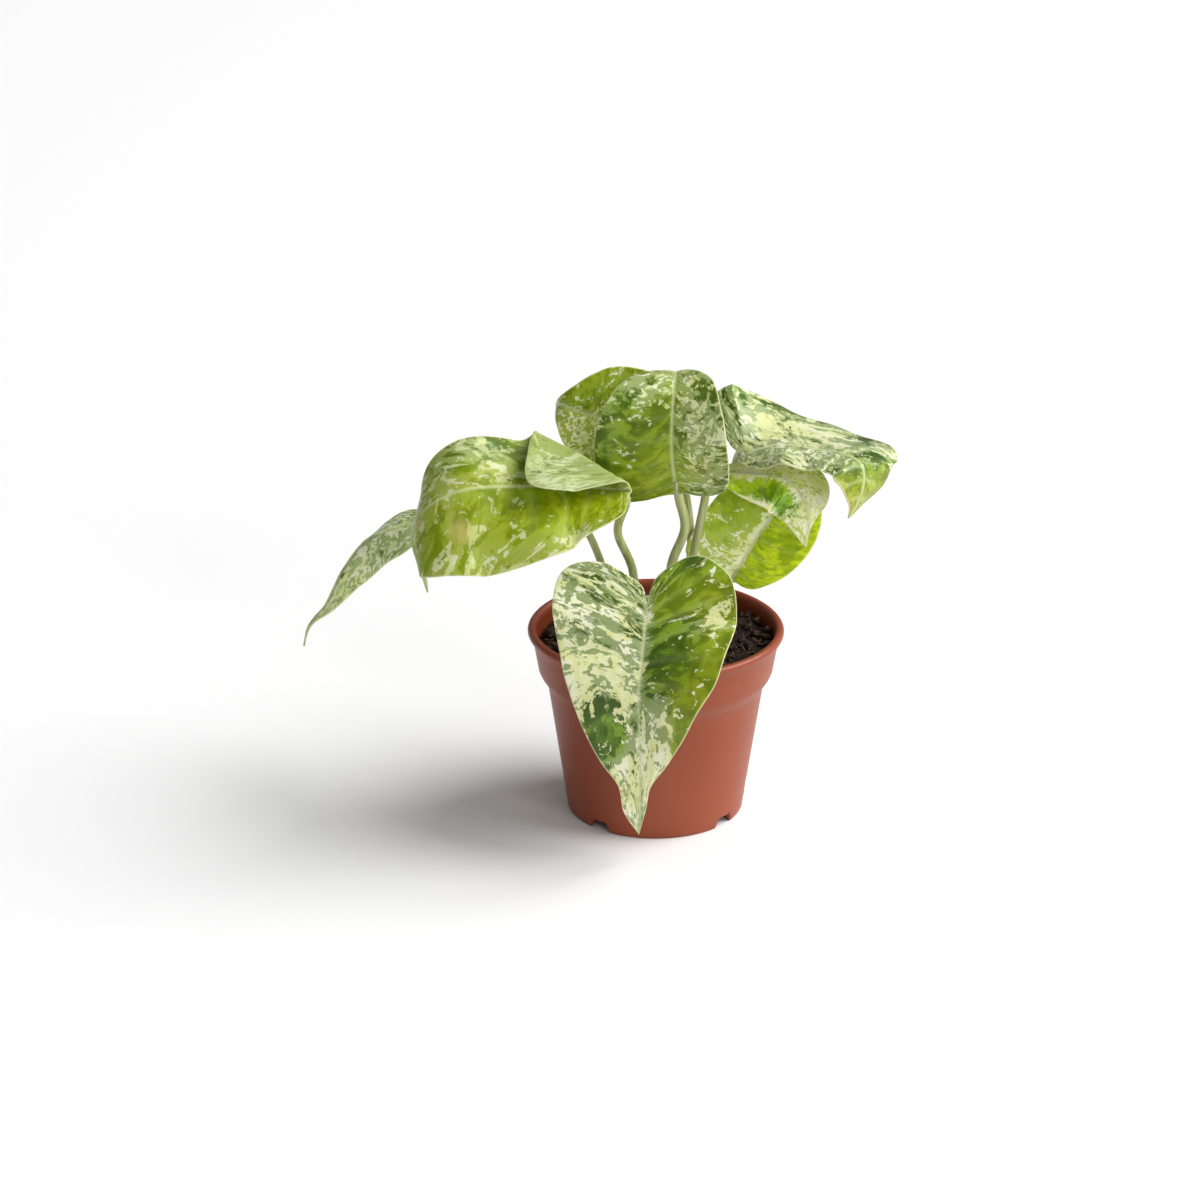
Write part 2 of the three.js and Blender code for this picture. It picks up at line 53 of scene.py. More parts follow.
# Pot
POT_HEIGHT = 0.0456
RIM_RADIUS = 0.030
COLLAR_RADIUS = 0.0288
SHOULDER_RADIUS = 0.0254
SHOULDER_HEIGHT = 0.0315
FOOT_RADIUS = 0.0208
WALL = 0.0011
FLOOR_UNDERSIDE = 0.003
FLOOR_TOP = 0.004
BEAD_RADIUS = 0.00105
BEAD_DROP = 0.00115
NOTCHES = 4
NOTCH_DIRECTION = math.radians(50.5)
NOTCH_WIDTH = 0.0058
NOTCH_HEIGHT = 0.0024
NOTCH_SLOPE = 0.0008
DRAIN_RADIUS = 0.0025
DRAIN_RING = 0.011
DRAIN_SIDES = 48
POT_SIDES = 288
PROFILE_SPACING = 0.0011
POT_WOBBLE = 0.00006

# Soil. Its lumps are noise in layers of steps a metre and share.
SOIL_LEVEL = 0.042
SOIL_RADIUS = 0.0273
SOIL_SIDE = [
    (SHOULDER_RADIUS - WALL + 0.0005, SHOULDER_HEIGHT + 0.002),
    (SHOULDER_RADIUS - WALL - 0.0005, SHOULDER_HEIGHT - 0.001),
    (FOOT_RADIUS - WALL - 0.0005, FLOOR_TOP + 0.0008),
]
SOIL_EDGE_DROP = 0.0007
SOIL_LUMPS = [(260.0, 0.45), (620.0, 0.32), (1500.0, 0.2), (3300.0, 0.09)]
LUMP_HEIGHT = 0.0009
LUMP_SEED = 50
SOIL_RINGS = 130
SOIL_SPOKES = 300
CRUMBS = 900
CRUMB_SEED = 7
FIBRES = 150
FIBRE_SEED = 19
FIBRE_POINTS = 7
FIBRE_SIDES = 5

# Leaf blades and stalks, in millimetres
BLADE_THICKNESS = 0.42
MARGIN_THICKNESS = 0.26
MARGIN_REACH = 0.22
FAN_SHARE = 0.3
VEIN_CROWDING = 1.15
VEIN_BOW = 0.08
SIDE_VEINS = [0.06, 0.13, 0.2, 0.27, 0.34, 0.41, 0.48, 0.56, 0.64, 0.72, 0.8, 0.88]
VEIN_DEPTH = 0.09
PUFF_HEIGHT = 0.07
ROUGH_HEIGHT = 0.035
GROOVE_DEPTH = 0.1
GROOVE_REACH = 0.45
FINE_ROWS = 210
FINE_COLUMNS = 44
FLAT_MAP_SPAN = 100
FLAT_MAP_START = (20, 50)
STALK_SIDES = 16
STALK_STEPS = 12
STALK_FOOT = 38.0
STALK_EXIT = 42.6
STALK_DROP = 0.85
RIDGE_STEPS = 60
RIDGE_START = 2.6
RIDGE_GAP = 0.08
HALVES = {1: "right", -1: "left"}

# Camera and light. Each light has its place from the plant's middle, its size and its power.
CAMERA_DISTANCE = 0.850
CAMERA_PITCH = math.radians(22.06)
FOCAL_PIXELS = 3636.0
FRAME_PIXELS = 1200.0
RIM_CENTRE_PIXEL = (655.85, 624.25)
SENSOR = 0.036
FLOOR_REACH = 6.0
PLANT_MIDDLE = 0.06
LIGHTS = {
    "key": ((4.7, 0.3, 4.7), 6.2, 670.0),
    "fill": ((1.8, -2.8, 0.7), 2.0, 50.0),
}
SKY_STRENGTH = 0.26

# Half outlines of a flat blade, from the notch at the stalk round to the tip: share of the midrib's
# length, share of the half's width. LOBED and DEEP_LOBED are lengths that some of them share.
LOBED = [-0.03, -0.1, -0.15, -0.155, -0.1, 0.02, 0.2, 0.4, 0.57, 0.7, 0.8, 0.9, 1]
DEEP_LOBED = [-0.02, -0.09, -0.14, -0.17, -0.16, -0.1, 0.03, 0.2, 0.4, 0.57, 0.7, 0.8, 0.9, 1]
HEART = list(zip(LOBED, [0, 0.17, 0.4, 0.63, 0.85, 0.98, 1, 0.88, 0.64, 0.34, 0.16, 0.075, 0]))
DEEP = list(zip(DEEP_LOBED, [
    0, 0.07, 0.29, 0.48, 0.76, 0.93, 0.97, 0.9, 0.8, 0.63, 0.43, 0.23, 0.17, 0,
]))
CLEFT = list(zip(DEEP_LOBED, [
    0, 0.07, 0.25, 0.46, 0.67, 0.9, 0.98, 0.93, 0.84, 0.63, 0.35, 0.13, 0.07, 0,
]))
ROUND = [
    [-0.03, 0], [-0.1, 0.17], [-0.15, 0.4], [-0.155, 0.63], [-0.1, 0.82], [0.02, 0.93], [0.16, 0.99],
    [0.32, 0.97], [0.48, 0.84], [0.62, 0.66], [0.74, 0.4], [0.86, 0.13], [1, 0],
]
BROAD = [
    [-0.03, 0], [-0.1, 0.17], [-0.15, 0.4], [-0.155, 0.63], [-0.1, 0.85], [0.02, 0.97], [0.2, 1],
    [0.4, 0.97], [0.57, 0.84], [0.7, 0.62], [0.8, 0.34], [0.88, 0.1], [1, 0],
]
OVAL = [
    [-0.03, 0], [-0.05, 0.14], [-0.05, 0.28], [-0.01, 0.46], [0.06, 0.66], [0.16, 0.86], [0.3, 0.98],
    [0.45, 1], [0.6, 0.88], [0.72, 0.65], [0.82, 0.34], [0.89, 0.1], [1, 0],
]
LATE = [
    [-0.03, 0], [-0.02, 0.06], [0, 0.2], [0.04, 0.32], [0.1, 0.44], [0.18, 0.61], [0.28, 0.79],
    [0.38, 0.88], [0.5, 0.86], [0.64, 0.75], [0.78, 0.6], [0.9, 0.34], [1, 0],
]
BLUNT = [
    [-0.03, 0], [-0.05, 0.14], [-0.05, 0.28], [-0.01, 0.42], [0.06, 0.59], [0.16, 0.78], [0.3, 0.97],
    [0.45, 1], [0.6, 0.91], [0.72, 0.61], [0.8, 0.26], [0.88, 0.06], [1, 0],
]
TURNED = list(zip(LOBED, [0, 0.17, 0.36, 0.63, 0.88, 1, 1.02, 0.83, 0.66, 0.43, 0.2, 0.12, 0]))
LONG = [
    [-0.03, 0], [-0.05, 0.14], [-0.05, 0.26], [-0.01, 0.48], [0.06, 0.68], [0.16, 0.83], [0.3, 0.94],
    [0.45, 1], [0.6, 0.94], [0.72, 0.77], [0.82, 0.56], [0.9, 0.25], [1, 0],
]
NARROW = [
    [-0.03, 0], [-0.04, 0.1], [-0.04, 0.21], [0, 0.36], [0.06, 0.58], [0.16, 0.78], [0.3, 0.87],
    [0.45, 0.85], [0.6, 0.79], [0.72, 0.7], [0.82, 0.46], [0.9, 0.22], [1, 0],
]
WIDE = list(zip(LOBED, [0, 0.17, 0.56, 0.79, 0.89, 0.94, 1, 0.91, 0.67, 0.5, 0.35, 0.17, 0]))
SLIM = [
    [-0.03, 0], [-0.04, 0.12], [-0.02, 0.26], [0.04, 0.48], [0.12, 0.74], [0.22, 0.94], [0.33, 1],
    [0.44, 0.92], [0.55, 0.68], [0.65, 0.42], [0.75, 0.22], [0.87, 0.1], [1, 0],
]

# Each leaf: where its stalk leaves the soil, the stalk's bends, and the midrib from stalk to tip.
# face gives the way that the upper side looks along the midrib. right and left are the halves
# seen from above with the tip ahead, and lobe draws out the outline's part behind the stalk. fold
# and curl are degrees that the half turns up at the midrib and again towards its edge, at even
# steps along the midrib. wave is the height, count and start of the ripples in its edge. corner
# turns a lobe over along a crease.
LEAVES = {
    "leaf_front": dict(
        stalk=dict(radius=1, root=[-1, -8], bends=[[-1.3, -12, 53.5], [-2, -20.5, 60]]),
        rib=[
            [-2.6, -29, 61.5], [-3.4, -33.8, 52.4], [-4.3, -36.4, 42.7], [-4, -36, 24.5],
            [-4.1, -31.5, 6.3],
        ],
        face=[[0, -0.84, 0.41], [-0.11, -0.93, -0.11], [0.07, -0.94, -0.09]],
        right=dict(
            outline=DEEP, lobe=0.97, width=21.8, fold=[5, 9, 8], curl=[-7, -10, 8], wave=[0.8, 3, 0.1],
        ),
        left=dict(
            outline=CLEFT, lobe=1.28, width=20.9, fold=[8, 23, 15], curl=[-6, -2, 1],
            wave=[0.8, 3, 0.5],
        ),
    ),
    "leaf_left": dict(
        stalk=dict(radius=1, root=[-4.5, -1], bends=[[-5.5, -2, 60], [-9, -5, 71]]),
        rib=[
            [-8, -8, 82], [-19.6, -7.6, 82.6], [-30.8, -10.8, 83.9], [-44, -13.2, 83.9],
            [-53.3, -12.2, 78.4], [-56.3, -7.3, 69.5], [-53.3, 0.4, 53.4],
        ],
        face=[
            [0.11, -0.41, 0.91], [-0.11, -0.39, 0.96], [-0.44, -0.73, 0.59], [-0.55, -0.39, 0.67],
            [-1, -0.29, -0.06],
        ],
        right=dict(
            outline=TURNED, lobe=0.8, width=18.1, fold=[-2, -1, -8, -10, -11], curl=[0, -3, 4],
            wave=[0.6, 2, 0],
            corner=dict(start=[0.128, 0], end=[0.271, 1], dip=7.7, radius=1.95, turn=173.6),
        ),
        left=dict(
            outline=LONG, lobe=0.35, width=21.2, fold=[9, -8, -2, -7, -18], curl=[0, -8, 0],
            wave=[0.6, 2, 0.4],
        ),
    ),
    "leaf_far_left": dict(
        stalk=dict(radius=0.9, root=[-9, 5], bends=[[-15, 6, 64.5], [-27, 10, 80.5], [-42, 11, 77]]),
        rib=[
            [-52.5, 10, 67.5], [-60, 9, 66.5], [-67.5, 8, 64], [-73.5, 7, 56.5], [-77.5, 6, 48.5],
            [-81.5, 5, 43.5], [-83, 5, 38],
        ],
        face=[[-0.1, -0.3, 0.9], [-0.4, -0.3, 0.8], [-0.7, -0.2, 0.7], [-0.9, -0.2, 0.5]],
        right=dict(outline=SLIM, lobe=0.4, width=9, fold=[15, -25, -60, -30, -5], curl=[-10, -10, 0]),
        left=dict(outline=SLIM, lobe=0.6, width=7.5, fold=[-15, -35, -55, -30, -5], curl=[-10, -10, 0]),
    ),
    "leaf_back_left": dict(
        stalk=dict(radius=0.9, root=[3.5, 7.5], bends=[[8, 9, 58], [6, 11, 77.5]]),
        rib=[[-2.5, 13, 88], [-9.5, 14, 90.5], [-16.5, 15, 92.5], [-22, 18, 93.5], [-23.5, 26, 91]],
        face=[[0, -0.8, 0.5], [0, -0.8, 0.5], [-0.2, -0.8, 0.5], [-1, -0.2, 0.2]],
        right=dict(outline=HEART, lobe=0.6, width=14, fold=[5, 5, 5], curl=[0, 0, 0]),
        left=dict(outline=HEART, lobe=0.6, width=13.5, fold=[5, 5, 5], curl=[0, 0, 0]),
    ),
    "leaf_centre": dict(
        stalk=dict(radius=1.1, root=[2.5, -1], bends=[[3.5, -2.5, 61.5], [6.5, -3, 71]]),
        rib=[
            [4.5, -3, 80.5], [3.5, -2, 88], [3.5, 0, 96], [4, 5, 102], [4.5, 15, 102.5],
            [4.5, 25, 98.5],
        ],
        face=[[-0.25, -1, 0.2], [-0.25, -0.9, 0.4], [-0.1, -0.6, 0.8], [0, 0, 1]],
        right=dict(outline=ROUND, lobe=0.3, width=13.5, fold=[8, 8, 8], curl=[-10, 0, 0]),
        left=dict(outline=ROUND, lobe=0.3, width=18.2, fold=[8, 8, 8], curl=[-10, 0, 0]),
    ),
    "leaf_right": dict(
        stalk=dict(
            radius=1, root=[10, 7],
            bends=[[14, 12, 58], [17.5, 16.5, 73], [19, 13.5, 82], [20, 6, 86.5]],
        ),
        rib=[
            [20.5, -1, 88.5], [28, -1.3, 90.6], [36.3, -2.8, 90], [42.3, -5.5, 90], [46.2, -9.6, 88.8],
            [46.7, -11.3, 84.6], [45.3, -12.3, 80.2], [43.4, -12.9, 76.9],
        ],
        face=[
            [-0.1, -0.38, 0.94], [0.2, -0.06, 1], [0.15, -0.14, 0.95], [0, -0.03, 1],
            [0.5, -0.46, 0.73], [0.72, -0.73, 0.12], [0.8, -0.62, -0.15], [0.75, -0.63, -0.28],
        ],
        right=dict(outline=NARROW, lobe=1, width=10.6, fold=[-15, -6, -17, -5], curl=[-8, 0, 5]),
        left=dict(outline=WIDE, lobe=0.82, width=18.9, fold=[25, -6, -9, -11, -13], curl=[1, 1, -6]),
    ),
    "leaf_right_middle": dict(
        stalk=dict(radius=1, root=[6, 1.5], bends=[[8.5, 1, 62], [11, 0, 76]]),
        rib=[
            [13.5, 1.5, 83], [20.5, -0.4, 83.2], [28.7, -2, 82.7], [32.7, -3.7, 79.7],
            [34.6, -6.6, 74.8], [34.3, -8.1, 67.9],
        ],
        face=[[0, -0.8, 0.8], [-0.18, -0.68, 0.72], [0.08, -1, 0.23]],
        right=dict(outline=LATE, lobe=1, width=10.7, fold=[18, 3, -8], curl=[0, 0, 0]),
        left=dict(outline=BLUNT, lobe=1, width=9.3, fold=[-45, -32, -15], curl=[0, 0, 0]),
    ),
    "leaf_right_low": dict(
        stalk=dict(radius=1, root=[11.5, -2.5], bends=[[13, -0.5, 48.5], [15.5, 2.5, 52]]),
        rib=[[18, 5, 55.5], [22.5, 8, 62.5], [28, 10, 70], [33, 12, 76.5], [36.5, 15, 80.5]],
        face=[[0, -1, 0.4], [0, -1, 0.4], [0, -1, 0.4]],
        right=dict(outline=OVAL, lobe=0.5, width=12, fold=[5, 5, 5], curl=[0, 0, 0]),
        left=dict(outline=BROAD, lobe=0.4, width=13.5, fold=[5, 5, 5], curl=[0, 0, 0]),
    ),
}

# The looks of each leaf. seed picks its noise, sheen is its gloss, and lift brightens its colours
# beyond the tissue's own tone: painted light, most on the leaves that lie in the shade of others.
# cream, dark and veins are how strongly cream tissue, dark strokes and side veins show. right and
# left make a half paler, and warm_all turns the green towards yellow. pale, warm and tan are soft
# patches: place along and across the blade, reach along and across, and amount. Across is above 0
# on the right half and below 0 on the left half.
LOOKS = {
    "leaf_front": dict(
        seed=3, sheen=0.3, lift=1, cream=0.85, dark=0.6, veins=0.15,
        warm_all=0.05, right=0.05, left=-0.05,
        pale=[
            (-0.05, 0.5, 0.08, 0.25, -0.02), (0.4, 0.5, 0.12, 0.3, 0.05),
            (0.62, 0.35, 0.07, 0.2, -0.13), (0.3, 0.9, 0.3, 0.12, 0.05), (0.72, -0.15, 0.1, 0.12, 0.19),
            (0.55, -0.3, 0.08, 0.1, 0.1), (0.05, -0.7, 0.08, 0.2, 0.1), (0.85, 0, 0.1, 0.2, 0.06),
            (0.1, -0.05, 0.3, 0.06, 0.05),
        ],
        warm=[
            (0.35, -0.8, 0.3, 0.2, 0.6), (-0.05, -0.45, 0.08, 0.4, 0.5), (0.55, -0.5, 0.12, 0.2, 0.4),
        ],
    ),
    "leaf_left": dict(
        seed=11, sheen=0.15, lift=1.2, cream=0.5, dark=0.8, veins=0.12,
        warm_all=0.65, right=0, left=0,
        pale=[
            (-0.1, 0.5, 0.12, 0.5, 0.07), (0.45, 0.6, 0.15, 0.3, 0.03), (0.15, -0.3, 0.15, 0.3, -0.06),
            (0.12, -0.8, 0.1, 0.15, 0.12), (0.5, -0.9, 0.15, 0.15, 0.06), (0.6, 0.15, 0.2, 0.12, 0.03),
        ],
        warm=[
            (-0.1, 0.5, 0.14, 0.5, -0.5), (0.42, 0.7, 0.15, 0.3, -0.45), (0.3, -0.3, 0.4, 0.4, 0.35),
            (0.85, 0, 0.1, 0.5, 0.4),
        ],
        tan=[
            (0.55, -0.45, 0.05, 0.2, 0.5), (0.72, 0.25, 0.03, 0.2, 0.5), (0.7, -0.12, 0.025, 0.08, 0.5),
        ],
    ),
    "leaf_far_left": dict(
        seed=23, sheen=0.2, lift=1.5, cream=0.65, dark=0.5, veins=0.2,
        warm_all=0.05, right=0.06, left=0.06,
        pale=[(0.75, 0, 0.2, 1, 0.04)],
    ),
    "leaf_back_left": dict(
        seed=31, sheen=0.1, lift=1.3, cream=0.75, dark=0.8, veins=0.12,
        warm_all=0.65, right=-0.02, left=0.04,
        pale=[(0.6, -0.5, 0.3, 0.4, 0.03), (0.1, 0.5, 0.2, 0.4, 0.03)],
        warm=[(0.4, 0.5, 0.5, 0.4, 0.3)],
    ),
    "leaf_centre": dict(
        seed=43, sheen=0.25, lift=1.15, cream=0.7, dark=0.6, veins=0.12,
        warm_all=0.15, right=0.01, left=-0.035,
        pale=[
            (0.3, 0.6, 0.15, 0.3, 0.04), (0.5, 0.8, 0.3, 0.25, 0.02), (0.75, -0.3, 0.15, 0.4, 0.05),
            (0.3, -0.85, 0.25, 0.15, 0.03), (0.6, -0.4, 0.1, 0.2, 0.05), (0.05, -0.4, 0.1, 0.3, -0.06),
        ],
        warm=[(0.1, -0.1, 0.12, 0.4, 0.6), (0.9, 0, 0.2, 0.7, 0.3), (0.35, 0, 0.3, 0.2, 0.2)],
        tan=[(0.08, 0.6, 0.13, 0.35, 0.34)],
    ),
    "leaf_right": dict(
        seed=59, sheen=0.35, lift=1, cream=0.7, dark=0.5, veins=0.45,
        warm_all=-0.05, right=0.03, left=0.03,
        # The patches at 0.92 and 0.93 along the blade (the last pale patch, the warm patch and the
        # second tan patch) paint its hanging tip olive-yellow: painted light shining through it from
        # behind.
        pale=[
            (0.02, -0.75, 0.1, 0.3, -0.03), (0.1, -0.45, 0.05, 0.15, 0.12),
            (0.24, -0.6, 0.05, 0.2, 0.08), (0.2, -0.1, 0.15, 0.1, 0.04), (0.2, 0.4, 0.12, 0.3, 0.04),
            (0.93, 0, 0.18, 1.3, -0.3),
        ],
        warm=[(0.92, 0, 0.18, 1.3, 1.4)],
        tan=[(0.72, 0.9, 0.1, 0.2, 0.35), (0.93, 0, 0.18, 1.3, 0.42)],
    ),
    "leaf_right_middle": dict(
        # lift 2.5 and the strong cream are painted light: the leaf lies in leaf_right's shade and is
        # painted as lit through it. Its large first pale patch is real cream tissue made paler with
        # painted light too.
        seed=71, sheen=0.2, lift=2.5, cream=0.95, dark=0.6, veins=0.25,
        warm_all=0.3, right=0, left=0.06,
        pale=[
            (0.45, 0.92, 0.5, 0.2, 0.3), (0.4, 0.45, 0.3, 0.25, -0.13), (0.85, 0.3, 0.1, 0.3, 0.12),
            (0.5, 0.05, 0.3, 0.08, 0.08), (0.1, 0, 0.1, 0.6, 0.06), (0.5, -0.5, 0.4, 0.5, 0.06),
        ],
        warm=[(0.15, 0, 0.25, 0.6, 0.6), (0.4, 0.5, 0.25, 0.3, -0.45), (0.3, -0.6, 0.3, 0.4, 0.4)],
        tan=[(0.88, 0.4, 0.1, 0.3, 0.2)],
    ),
    "leaf_right_low": dict(
        # lift 1.95 and the strong warm_all are painted light: the yellow-green glow of light shining
        # through the leaf from behind.
        seed=83, sheen=0.1, lift=1.95, cream=0.85, dark=0.9, veins=0.2,
        warm_all=0.8, right=-0.14, left=-0.02,
        pale=[
            (0.1, -0.05, 0.15, 0.3, 0.1), (0.4, -0.05, 0.2, 0.06, 0.12), (0.05, -0.6, 0.1, 0.3, 0.05),
        ],
        warm=[(0.4, 0.5, 0.5, 0.5, 0.4), (0.6, -0.5, 0.2, 0.3, -0.3)],
    ),
}


# Curves and noise
def spline(points, t):
    """A smooth curve through a list of points, t from 0 to 1."""
    p = np.asarray(points, float)
    p = np.vstack([2 * p[0] - p[1], p, 2 * p[-1] - p[-2]])
    spans = len(p) - 3
    x = np.clip(np.asarray(t, float), 0, 1) * spans
    i = np.minimum(x.astype(int), spans - 1)
    f = (x - i)[..., None]
    a, b, c, d = p[i], p[i + 1], p[i + 2], p[i + 3]
    return b + 0.5 * f * (c - a + f * (2 * a - 5 * b + 4 * c - d + f * (3 * (b - c) + d - a)))


def along(values, t):
    return spline(np.asarray(values, float)[:, None], t)[..., 0]


def slope(points, t):
    t = np.asarray(t, float)
    lower = np.maximum(t - 1e-4, 0)
    upper = np.minimum(t + 1e-4, 1)
    return (spline(points, upper) - spline(points, lower)) / (upper - lower)[..., None]


def unit(vectors):
    return vectors / np.maximum(np.linalg.norm(vectors, axis=-1, keepdims=True), 1e-12)


def stalk_curve(points, per_span):
    """A curve through the points that doesn't overshoot where they lie close together."""
    p = np.asarray(points, float)
    p = np.vstack([2 * p[0] - p[1], p, 2 * p[-1] - p[-2]])
    places = []
    for a, b, c, d in zip(p, p[1:], p[2:], p[3:]):
        gap_ab, gap_bc, gap_cd = (math.sqrt(np.linalg.norm(q)) for q in (b - a, c - b, d - c))
        start = ((b - a) / gap_ab - (c - a) / (gap_ab + gap_bc) + (c - b) / gap_bc) * gap_bc
        end = ((c - b) / gap_bc - (d - b) / (gap_bc + gap_cd) + (d - c) / gap_cd) * gap_bc
        for t in np.arange(per_span) / per_span:
            cubic = 2 * b - 2 * c + start + end
            square = 3 * c - 3 * b - 2 * start - end
            places.append(b + t * (start + t * (square + t * cubic)))
    return np.array(places + [p[-2]])


def smooth_step(low, high, x):
    x = np.clip((x - low) / (high - low), 0, 1)
    return x * x * (3 - 2 * x)


def bump(x, reach):
    return np.exp(-0.5 * (x / reach) ** 2)


def noise(x, y, seed):
    """Smooth random values from -1 to 1 over a plane, one random value for each whole step."""
    table = np.random.default_rng(seed).uniform(-1, 1, (64, 64))
    i, j = np.floor(x).astype(int), np.floor(y).astype(int)
    f, g = x - i, y - j
    f, g = f * f * (3 - 2 * f), g * g * (3 - 2 * g)
    near = table[i % 64, j % 64] * (1 - f) + table[(i + 1) % 64, j % 64] * f
    far = table[i % 64, (j + 1) % 64] * (1 - f) + table[(i + 1) % 64, (j + 1) % 64] * f
    return near * (1 - g) + far * g


# Leaf surface
def rib_frame(leaf, w):
    """The midrib's points and its forward, upward and rightward directions."""
    t = np.clip(w, 0, 1)
    forward = unit(slope(leaf["rib"], t))
    up = spline(unit(np.asarray(leaf["face"], float)), t)
    up = unit(up - (up * forward).sum(-1, keepdims=True) * forward)
    point = spline(leaf["rib"], t) + forward * (np.minimum(w, 0) * leaf["length"])[..., None]
    return point, forward, up, np.cross(forward, up)


def turn_corner(half, length, w, v):
    """Turn the corner of a flat half over along its crease: new places and heights above it."""
    if "corner" not in half:
        return w, v, np.zeros_like(w)
    corner = half["corner"]
    scale = np.array([length, half["width"]])
    start = np.array(corner["start"]) * scale
    crease = unit(np.array(corner["end"]) * scale - start)
    away = np.array([-crease[1], crease[0]])
    place = np.stack([w, v], -1) * scale
    past = np.maximum((place - start) @ away - corner["dip"] * (1 - v) ** 2, 0)
    radius, turn = corner["radius"], math.radians(corner["turn"])
    angle = np.minimum(past / radius, turn)
    over = np.maximum(past - radius * turn, 0)
    reach = radius * np.sin(angle) + over * math.cos(turn)
    height = radius * (1 - np.cos(angle)) + over * math.sin(turn)
    place = (place + away * (reach - past)[..., None]) / scale
    return place[..., 0], place[..., 1], height


def blade_points(leaf, hand, flat_w, flat_v):
    """Flat places on one half, w along the midrib and v across, put where the leaf has them."""
    half = leaf[HALVES[hand]]
    w, v, height = turn_corner(half, leaf["length"], flat_w, flat_v)
    inside = np.clip(w, 0, 1)
    fold = np.radians(along(half["fold"], inside))
    curl = np.radians(along(half["curl"], inside))
    curl = np.where(np.abs(curl) < 1e-3, 1e-3, curl)
    angle = fold + curl * v
    out = half["width"] / curl * (np.sin(angle) - np.sin(fold))
    rise = half["width"] / curl * (np.cos(fold) - np.cos(angle))
    wave_height, waves, wave_start = half.get("wave", [0, 0, 0])
    ripple = wave_height * v * v * np.sin(2 * math.pi * (waves * w + wave_start))
    lift = np.where(height > 0, height, ripple)
    point, _, up, right = rib_frame(leaf, w)
    sideways = (hand * (out - lift * np.sin(angle)))[..., None]
    return point + right * sideways + up * (rise + lift * np.cos(angle))[..., None]


def vein_places(half, t, s):
    """Flat places: t runs round the outline from notch to tip, s from midrib to edge."""
    outline = np.array(half["outline"], float)
    lobe = (outline[:, 0] < 0) & (outline[:, 1] > 0)
    outline[lobe, 0] *= half["lobe"]
    edge = spline(outline, t)
    edge_w, edge_v = edge[..., 0], edge[..., 1]
    start = np.maximum((t - FAN_SHARE) / (1 - FAN_SHARE), 0) ** VEIN_CROWDING
    middle = (start + edge_w) / 2 - VEIN_BOW * np.minimum(2 * t, 1) ** 2 * edge_v
    return (1 - s) ** 2 * start + 2 * (1 - s) * s * middle + s * s * edge_w, s * edge_v


def vein_mask(t, s):
    """1 on the side veins, falling off to 0 between them. They taper towards the edge."""
    mask = np.zeros_like(t)
    for vein in SIDE_VEINS:
        width = 0.0045 + 0.004 * (1 - s)
        mask = np.maximum(mask, bump(t - vein, width) * (1 - 0.75 * s))
    return mask * smooth_step(0.0, 0.12, s)


def relief(t, s, v_mm, seed):
    """Height of the blade's small forms: veins, puffed tissue, roughness and the midrib's groove."""
    between = np.zeros_like(t)
    for low, high in zip(SIDE_VEINS, SIDE_VEINS[1:]):
        share = np.clip((t - low) / (high - low), 0, 1)
        between = np.maximum(between, np.sin(math.pi * share))
    puff = PUFF_HEIGHT * between * smooth_step(0.05, 0.4, s) * (1 - 0.6 * s)
    rough = noise(t * 60 + 7, s * 14, seed) + 0.5 * noise(t * 130, s * 30 + 3, seed + 1)
    groove = -GROOVE_DEPTH * bump(v_mm, GROOVE_REACH)
    return puff - VEIN_DEPTH * vein_mask(t, s) + ROUGH_HEIGHT * rough + groove


def add_patches(patches, w, v):
    """The sum of soft patches at each place."""
    total = np.zeros_like(w)
    for along_rib, across, reach_w, reach_v, amount in patches:
        total += amount * bump(w - along_rib, reach_w) * bump(v - across, reach_v)
    return total


def blade_layers(leaf, look, hand, t, s):
    """One half of the blade: its points, UV maps, patches, veins, margin and relief, in rows."""
    half = leaf[HALVES[hand]]
    w, v = vein_places(half, t, s)
    side, v_mm = hand * v, v * half["width"]
    midrib = bump(v_mm, 0.3) * (1 - 0.4 * w)
    to_margin = (1 - s) * half["width"] * np.maximum(v / np.maximum(s, 0.02), 0.1)
    half_pale = look[HALVES[hand]] * smooth_step(0.0, 0.1, v)
    pale, warm, tan = (add_patches(look.get(key, []), w, side) for key in ("pale", "warm", "tan"))
    flat_mm = np.stack([w * leaf["length"], hand * v_mm], -1) + FLAT_MAP_START
    layers = {
        "points": blade_points(leaf, hand, w, v),
        "flat": flat_mm / FLAT_MAP_SPAN,
        "veins": np.stack([t, hand * s], -1),
        "pale": half_pale + pale,
        "warm": look["warm_all"] + warm,
        "tan": tan,
        "vein": np.maximum(look["veins"] * vein_mask(t, s), midrib),
        "edge": bump(to_margin, MARGIN_REACH),
        "height": relief(t, s, v_mm, look["seed"]),
    }
    return {name: layer.reshape(t.size, *layer.shape[2:]) for name, layer in layers.items()}


def quad_faces(a, b, c, d):
    """Two triangles for each set of four corners that run round a quad."""
    a, b, c, d = (corner.ravel() for corner in (a, b, c, d))
    return np.concatenate([np.stack([a, b, c], -1), np.stack([a, c, d], -1)])


